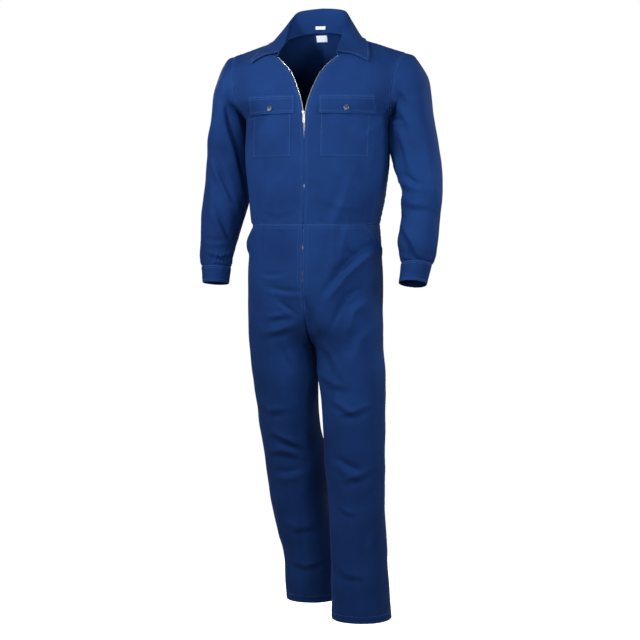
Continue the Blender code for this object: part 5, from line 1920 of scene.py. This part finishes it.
# ================================================================ zip
@dataclass
class Zip:
    """The metal zip: two tapes with their teeth, the slider and its pull."""

    finishes: Finishes
    tape_width: float = .011
    tape_ply: float = .0008
    behind: float = .0026        # from the face of the front to the face of the tape
    reach: float = .0030         # how far the teeth stand past the front edge
    bared: float = .0007         # how much nearer the face they come just below the slider
    pitch: float = .0025
    tooth: tuple[float, float, float] = (.0038, .0013, .0022)
    slider_size: tuple[float, float, float] = (.0086, .0012, .0130)
    slider_faces: tuple[float, float] = (-.1390, -.1326)     # Y of the two plates' inner faces
    stations: int = 260          # at which the front edge of a panel is read

    def build(self) -> None:
        """Makes both halves, the slider and the pull."""
        for side in Side:
            self._half(side)
        self._slider()
        self._pull()

    def _edge(self, side: Side) -> tuple[Array, Array, Array]:
        """The front edge from the lower stop to the end of the lapel: points, ways inwards and ways out."""
        trousers, top = trouser_panel(side, -1), top_panel(side, True)
        spots, inward, outs = [], [], []
        for panel, low, high in ((trousers, .85, 1.0), (top, 0.0, float(top.marks[-3]))):
            v = np.linspace(low, high, self.stations)
            at = panel.at(np.zeros(self.stations), v)
            spots.append(at)
            inward.append(unit(panel.at(np.full(self.stations, .03), v) - at))
            outs.append(direction(panel, np.full(self.stations, .02), v))
        points, inward, outs = (np.concatenate(part) for part in (spots, inward, outs))
        above = points[:, 2] > ZIP_STOP_Z
        return points[above], inward[above], outs[above]

    def _half(self, side: Side) -> None:
        """A tape under the front edge, with its teeth past it."""
        points, inward, outs = self._edge(side)
        lengths = run_lengths(points)
        lengths += np.arange(len(lengths)) * 1e-9    # so that they rise where two points coincide
        gap = np.abs(points[:, 0] - lean_at(points[:, 2]))
        limit = np.minimum(gap - .00015, self.reach)
        surface = Tape(lengths, points - outs * self.behind, inward, limit, self.tape_width, side.value)
        cloth = Cloth(surface, np.linspace(0, 1, 9), cells(float(lengths[-1]), .004))
        tape = cloth.make("zip_tape_" + side.word, self.finishes.tape, self.tape_ply)
        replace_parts(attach(tape, "garment"), "zip_" + side.word)

        at = np.arange(.002 + (self.pitch / 2 if side is Side.LEFT else 0), lengths[-1], self.pitch)
        spots, ways = read_along(lengths, points, at), unit(read_along(lengths, inward, at))
        tips = np.interp(at, lengths, limit)
        below = SLIDER_Z - self.slider_size[2] / 2
        rises = self.bared * step(spots[:, 2], below - .075, below - .045) * (spots[:, 2] < below)
        climbs = ways_along(lengths, points, at)
        work = bmesh.new()
        size = self.tooth
        for spot, way, climb, tip, rise in zip(spots, ways, climbs, tips, rises):
            along = unit(climb)
            way = unit(way - along * (way @ along))
            up = unit(np.cross(way, along)) * side.value
            middle = spot - way * (tip - size[0] / 2) - up * (self.behind + .0002 - rise)
            turn = Matrix((way, along, up)).transposed().to_4x4()
            shape = Matrix.Translation(Vector(middle)) @ turn @ Matrix.Diagonal((*size, 1))
            bmesh.ops.create_cube(work, size=1, matrix=shape)
        edges = [edge for edge in work.edges if edge.calc_length() > self.tooth[1] * .5]
        soften(work, edges, .00028, 1)
        teeth = keep("zip_teeth_" + side.word, work, self.finishes.nickel, smooth=False)
        dress(teeth, "zip_" + side.word)
        log.info("zip_%s", side.word)

    def _slider(self) -> None:
        """Two shaped plates joined by a wedge, with an arched bridge for the pull."""
        centre = float(lean_at(SLIDER_Z)[0])
        work = bmesh.new()
        half = self.slider_size[0] / 2
        top, foot = SLIDER_Z + self.slider_size[2] / 2, SLIDER_Z - self.slider_size[2] / 2
        outline = ((-.42, foot), (.42, foot), (.62, foot + .0035), (1.0, foot + .0075), (1.0, top - .0012),
                   (.72, top), (.20, top - .0006), (-.20, top - .0006), (-.72, top), (-1.0, top - .0012),
                   (-1.0, foot + .0075), (-.62, foot + .0035))
        front, back = self.slider_faces
        for y, depth in ((front - self.slider_size[1], self.slider_size[1]), (back, self.slider_size[1])):
            face = work.faces.new([work.verts.new((centre + x * half, y, z)) for x, z in outline])
            grown = bmesh.ops.extrude_face_region(work, geom=[face], use_keep_orig=True)
            moved = [item for item in grown["geom"] if isinstance(item, bmesh.types.BMVert)]
            bmesh.ops.translate(work, verts=moved, vec=(0, depth, 0))
        wedge = Matrix.Translation((centre, (front + back) / 2, top - .0020))
        size = Matrix.Diagonal((.0014, back - front + .0004, .0030, 1))
        bmesh.ops.create_cube(work, size=1, matrix=wedge @ size)
        bmesh.ops.recalc_face_normals(work, faces=work.faces)
        soften(work, sharp_edges(work, 40), .0003)
        self._bridge(work, centre)
        slider = keep("zip_slider_body", work, self.finishes.nickel)
        slider.data.set_sharp_from_angle(angle=radians(35))
        dress(slider, "zip_slider")
        log.info("zip_slider")

    def _bridge(self, work: bmesh.types.BMesh, centre: float) -> None:
        """The arch that holds the pull, as a bar swept from plate to plate."""
        axis_z = -.20344         # height of the pull's hinge
        width, wall, span, rise = .0022, .0009, .0064, .0026
        front = self.slider_faces[0] - self.slider_size[1]
        path = [(front + .0004, axis_z - span / 2)]
        for k in range(9):
            angle = pi * k / 8
            path.append((front - rise * sin(angle) ** .6, axis_z - span / 2 * cos(angle)))
        path.append((front + .0004, axis_z + span / 2))
        rings = []
        for k, (y, z) in enumerate(path):
            before, after = path[max(k - 1, 0)], path[min(k + 1, len(path) - 1)]
            way = unit(np.array((after[0] - before[0], after[1] - before[1])))
            side = np.array((way[1], -way[0])) * wall / 2
            rings.append([work.verts.new((centre + x * width / 2, y + s * side[0], z + s * side[1]))
                          for x, s in ((-1, -1), (1, -1), (1, 1), (-1, 1))])
        for low, high in zip(rings, rings[1:]):
            for k in range(4):
                work.faces.new((low[k], low[(k + 1) % 4], high[(k + 1) % 4], high[k]))
        work.faces.new(rings[0][::-1])
        work.faces.new(rings[-1])
        bmesh.ops.recalc_face_normals(work, faces=work.faces)

    def _pull(self) -> None:
        """The pull tab: the solid's own shape with softened edges."""
        node = bpy.data.objects["zip_pull"]
        work = bmesh.new()
        work.from_mesh(node.data)
        merge(work, 1e-6)
        bmesh.ops.dissolve_limit(work, angle_limit=radians(2), verts=work.verts, edges=work.edges)
        soften(work, sharp_edges(work, 30), .00022)
        pull = keep("zip_pull_tab", work, self.finishes.nickel)
        pull.data.set_sharp_from_angle(angle=radians(35))
        dress(pull, "zip_pull", "pull")
        log.info("zip_pull")


@dataclass
class Tape:
    """A zip tape: u from its teeth's side under the front, v along the front edge."""

    lengths: Array
    face: Array
    inward: Array
    limit: Array
    width: float
    outward: float
    bare: float = .0022          # what the teeth reach past the tape

    def at(self, u: Array, v: Array) -> Array:
        """Points of the tape."""
        at = np.clip(v, 0, 1) * self.lengths[-1]
        face, inward = (read_along(self.lengths, part, at) for part in (self.face, self.inward))
        past = self.limit - self.bare
        start = np.interp(at, self.lengths, -np.maximum(past, 0) * (self.limit > self.bare))
        return face + inward * (start + (self.width - start) * u)[:, None]


# ================================================================ labels
@dataclass
class Labels:
    """Two plain labels in the back of the neck."""

    finishes: Finishes
    stitching: Stitching
    x: float = -.005
    ply: float = .0004

    def build(self) -> None:
        """Makes both labels with their sewing."""
        collar, back = (skin_of([bpy.data.objects[name]]) for name in ("collar_cloth", "back_cloth"))
        lines = []
        for name, skin, width, height, z, gap in (("neck_label", collar, .026, .008, .031, .0008),
                                                  ("size_label", back, .029, .016, .004, .0016)):
            middle = float(lean_at(z)[0]) + self.x
            patch = Patch(skin, (middle - width / 2, 0.0, z - height / 2), (width, height), 1, gap)
            cloth = Cloth(patch, cells(width, .0015, False), cells(height, .0012, False))
            cloth.outs = -np.abs(cloth.outs) * (0, 1, 0) + cloth.outs * (1, 0, 1)
            cloth.crease((), 1, 41, .12)
            piece = dress(cloth.make(name + "_tape", self.finishes.label, self.ply), name)
            lines += [cloth.line("inner", .0014), cloth.line("outer", .0014)]
            log.info(name)
        self.stitching.sew("label_stitching", lines)


# ================================================================ studio
@dataclass
class Studio:
    """Plain pale floor, soft light from above and in front, and the camera."""

    floor_z: float = -1.60
    floor_radius: float = 1.3
    air: float = .16             # strength of the light from all round

    def build(self) -> None:
        """Makes the floor, the light, the world and the camera."""
        VIEW.make_camera()
        scene = bpy.context.scene
        scene.view_settings.view_transform = "Standard"
        scene.view_settings.look = "None"
        self._world(scene)
        self._floor()
        self._lamp("front_light", (0, -1.45, -.40), (0, 0, -.42), .7, 9)
        self._lamp("key_light", (-.72, -1.05, .42), (0, -.05, -.42), .28, 28)
        self._lamp("second_light", (.95, -1.00, .20), (0, -.05, -.50), .35, 13)
        for side in Side:
            self._lamp("back_light_" + side.word, (side.value * 1.3, 1.7, .35), (0, 0, -.45), .5, 17)
        self._lamp("left_light", (-1.5, -.6, -.05), (0, 0, -.4), .5, 6)
        self._lamp("right_light", (1.5, -.6, -.05), (0, 0, -.4), .5, 15)
        log.info("studio")

    def _world(self, scene: bpy.types.Scene) -> None:
        """Light from all round, which the camera sees as plain white."""
        world = bpy.data.worlds.new("studio_air")
        world.use_nodes = True
        tree = world.node_tree
        tree.nodes.clear()
        seen = add_node(tree, "ShaderNodeLightPath")
        white = add_node(tree, "ShaderNodeBackground", inputs={"Color": (1, 1, 1, 1), "Strength": 1.0})
        soft = add_node(tree, "ShaderNodeBackground",
                        inputs={"Color": (.60, .78, 1, 1), "Strength": self.air})
        both = add_node(tree, "ShaderNodeMixShader", inputs={0: seen.outputs["Is Camera Ray"],
                                                             1: soft.outputs[0], 2: white.outputs[0]})
        add_node(tree, "ShaderNodeOutputWorld", inputs={"Surface": both.outputs[0]})
        scene.world = world

    def _floor(self) -> None:
        """A wide round floor of white paper."""
        paper = Weave("white_paper_floor", Roughness=.9, Emission_Color=(1, 1, 1, 1), Emission_Strength=.80)
        fibre = paper.noise(paper.place(), 40.0)
        made = paper.finish(Base_Color=paper.mix(fibre, "#fafafa", "#ffffff"))
        work = bmesh.new()
        bmesh.ops.create_circle(work, cap_ends=True, segments=96, radius=self.floor_radius,
                                matrix=Matrix.Translation((0, 0, self.floor_z)))
        floor = keep("floor", work, made, smooth=False)
        floor.visible_diffuse = False

    @staticmethod
    def _lamp(name: str, place: tuple[float, float, float], aim: tuple[float, float, float], size: float,
              watts: float) -> None:
        """A soft box at a place, turned to what it lights."""
        data = bpy.data.lights.new(name, "AREA")
        data.shape = "DISK"
        data.size = size
        data.energy = watts
        lamp = bpy.data.objects.new(name, data)
        lamp.visible_camera = False
        lamp.location = place
        lamp.rotation_euler = (Vector(aim) - Vector(place)).to_track_quat("-Z", "Y").to_euler()
        bpy.context.scene.collection.objects.link(lamp)


# ================================================================ the suit
def main() -> None:
    """Builds the suit in order, and reports each piece."""
    logging.basicConfig(level=logging.INFO, format="%(name)s: %(message)s")
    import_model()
    Studio().build()
    finishes = Finishes()
    stitching = Stitching(finishes.thread)

    top = Top(finishes, stitching)
    top.build()
    log.info("fronts and back")
    for side in Side:
        Sleeve(side, finishes, stitching).build()
    Collar(finishes, stitching).build(skin_of(top.pieces.values()))
    Trousers(finishes, stitching).build()
    flap_button, cuff_button = (Button(finishes.button, finishes.thread, radius) for radius in (.0075, .0065))
    for side in Side:
        pocket = ChestPocket(side, finishes, stitching)
        skin = pocket.build(top.pieces["front_" + side.word])
        flap_button.place("flap_button_" + side.word, *pocket.button_spot(skin))
        cuff_button.place("cuff_button_" + side.word, *cuff_surface(side).button_spot())
    Zip(finishes).build()
    Labels(finishes, stitching).build()


if __name__ == "__main__":
    main()
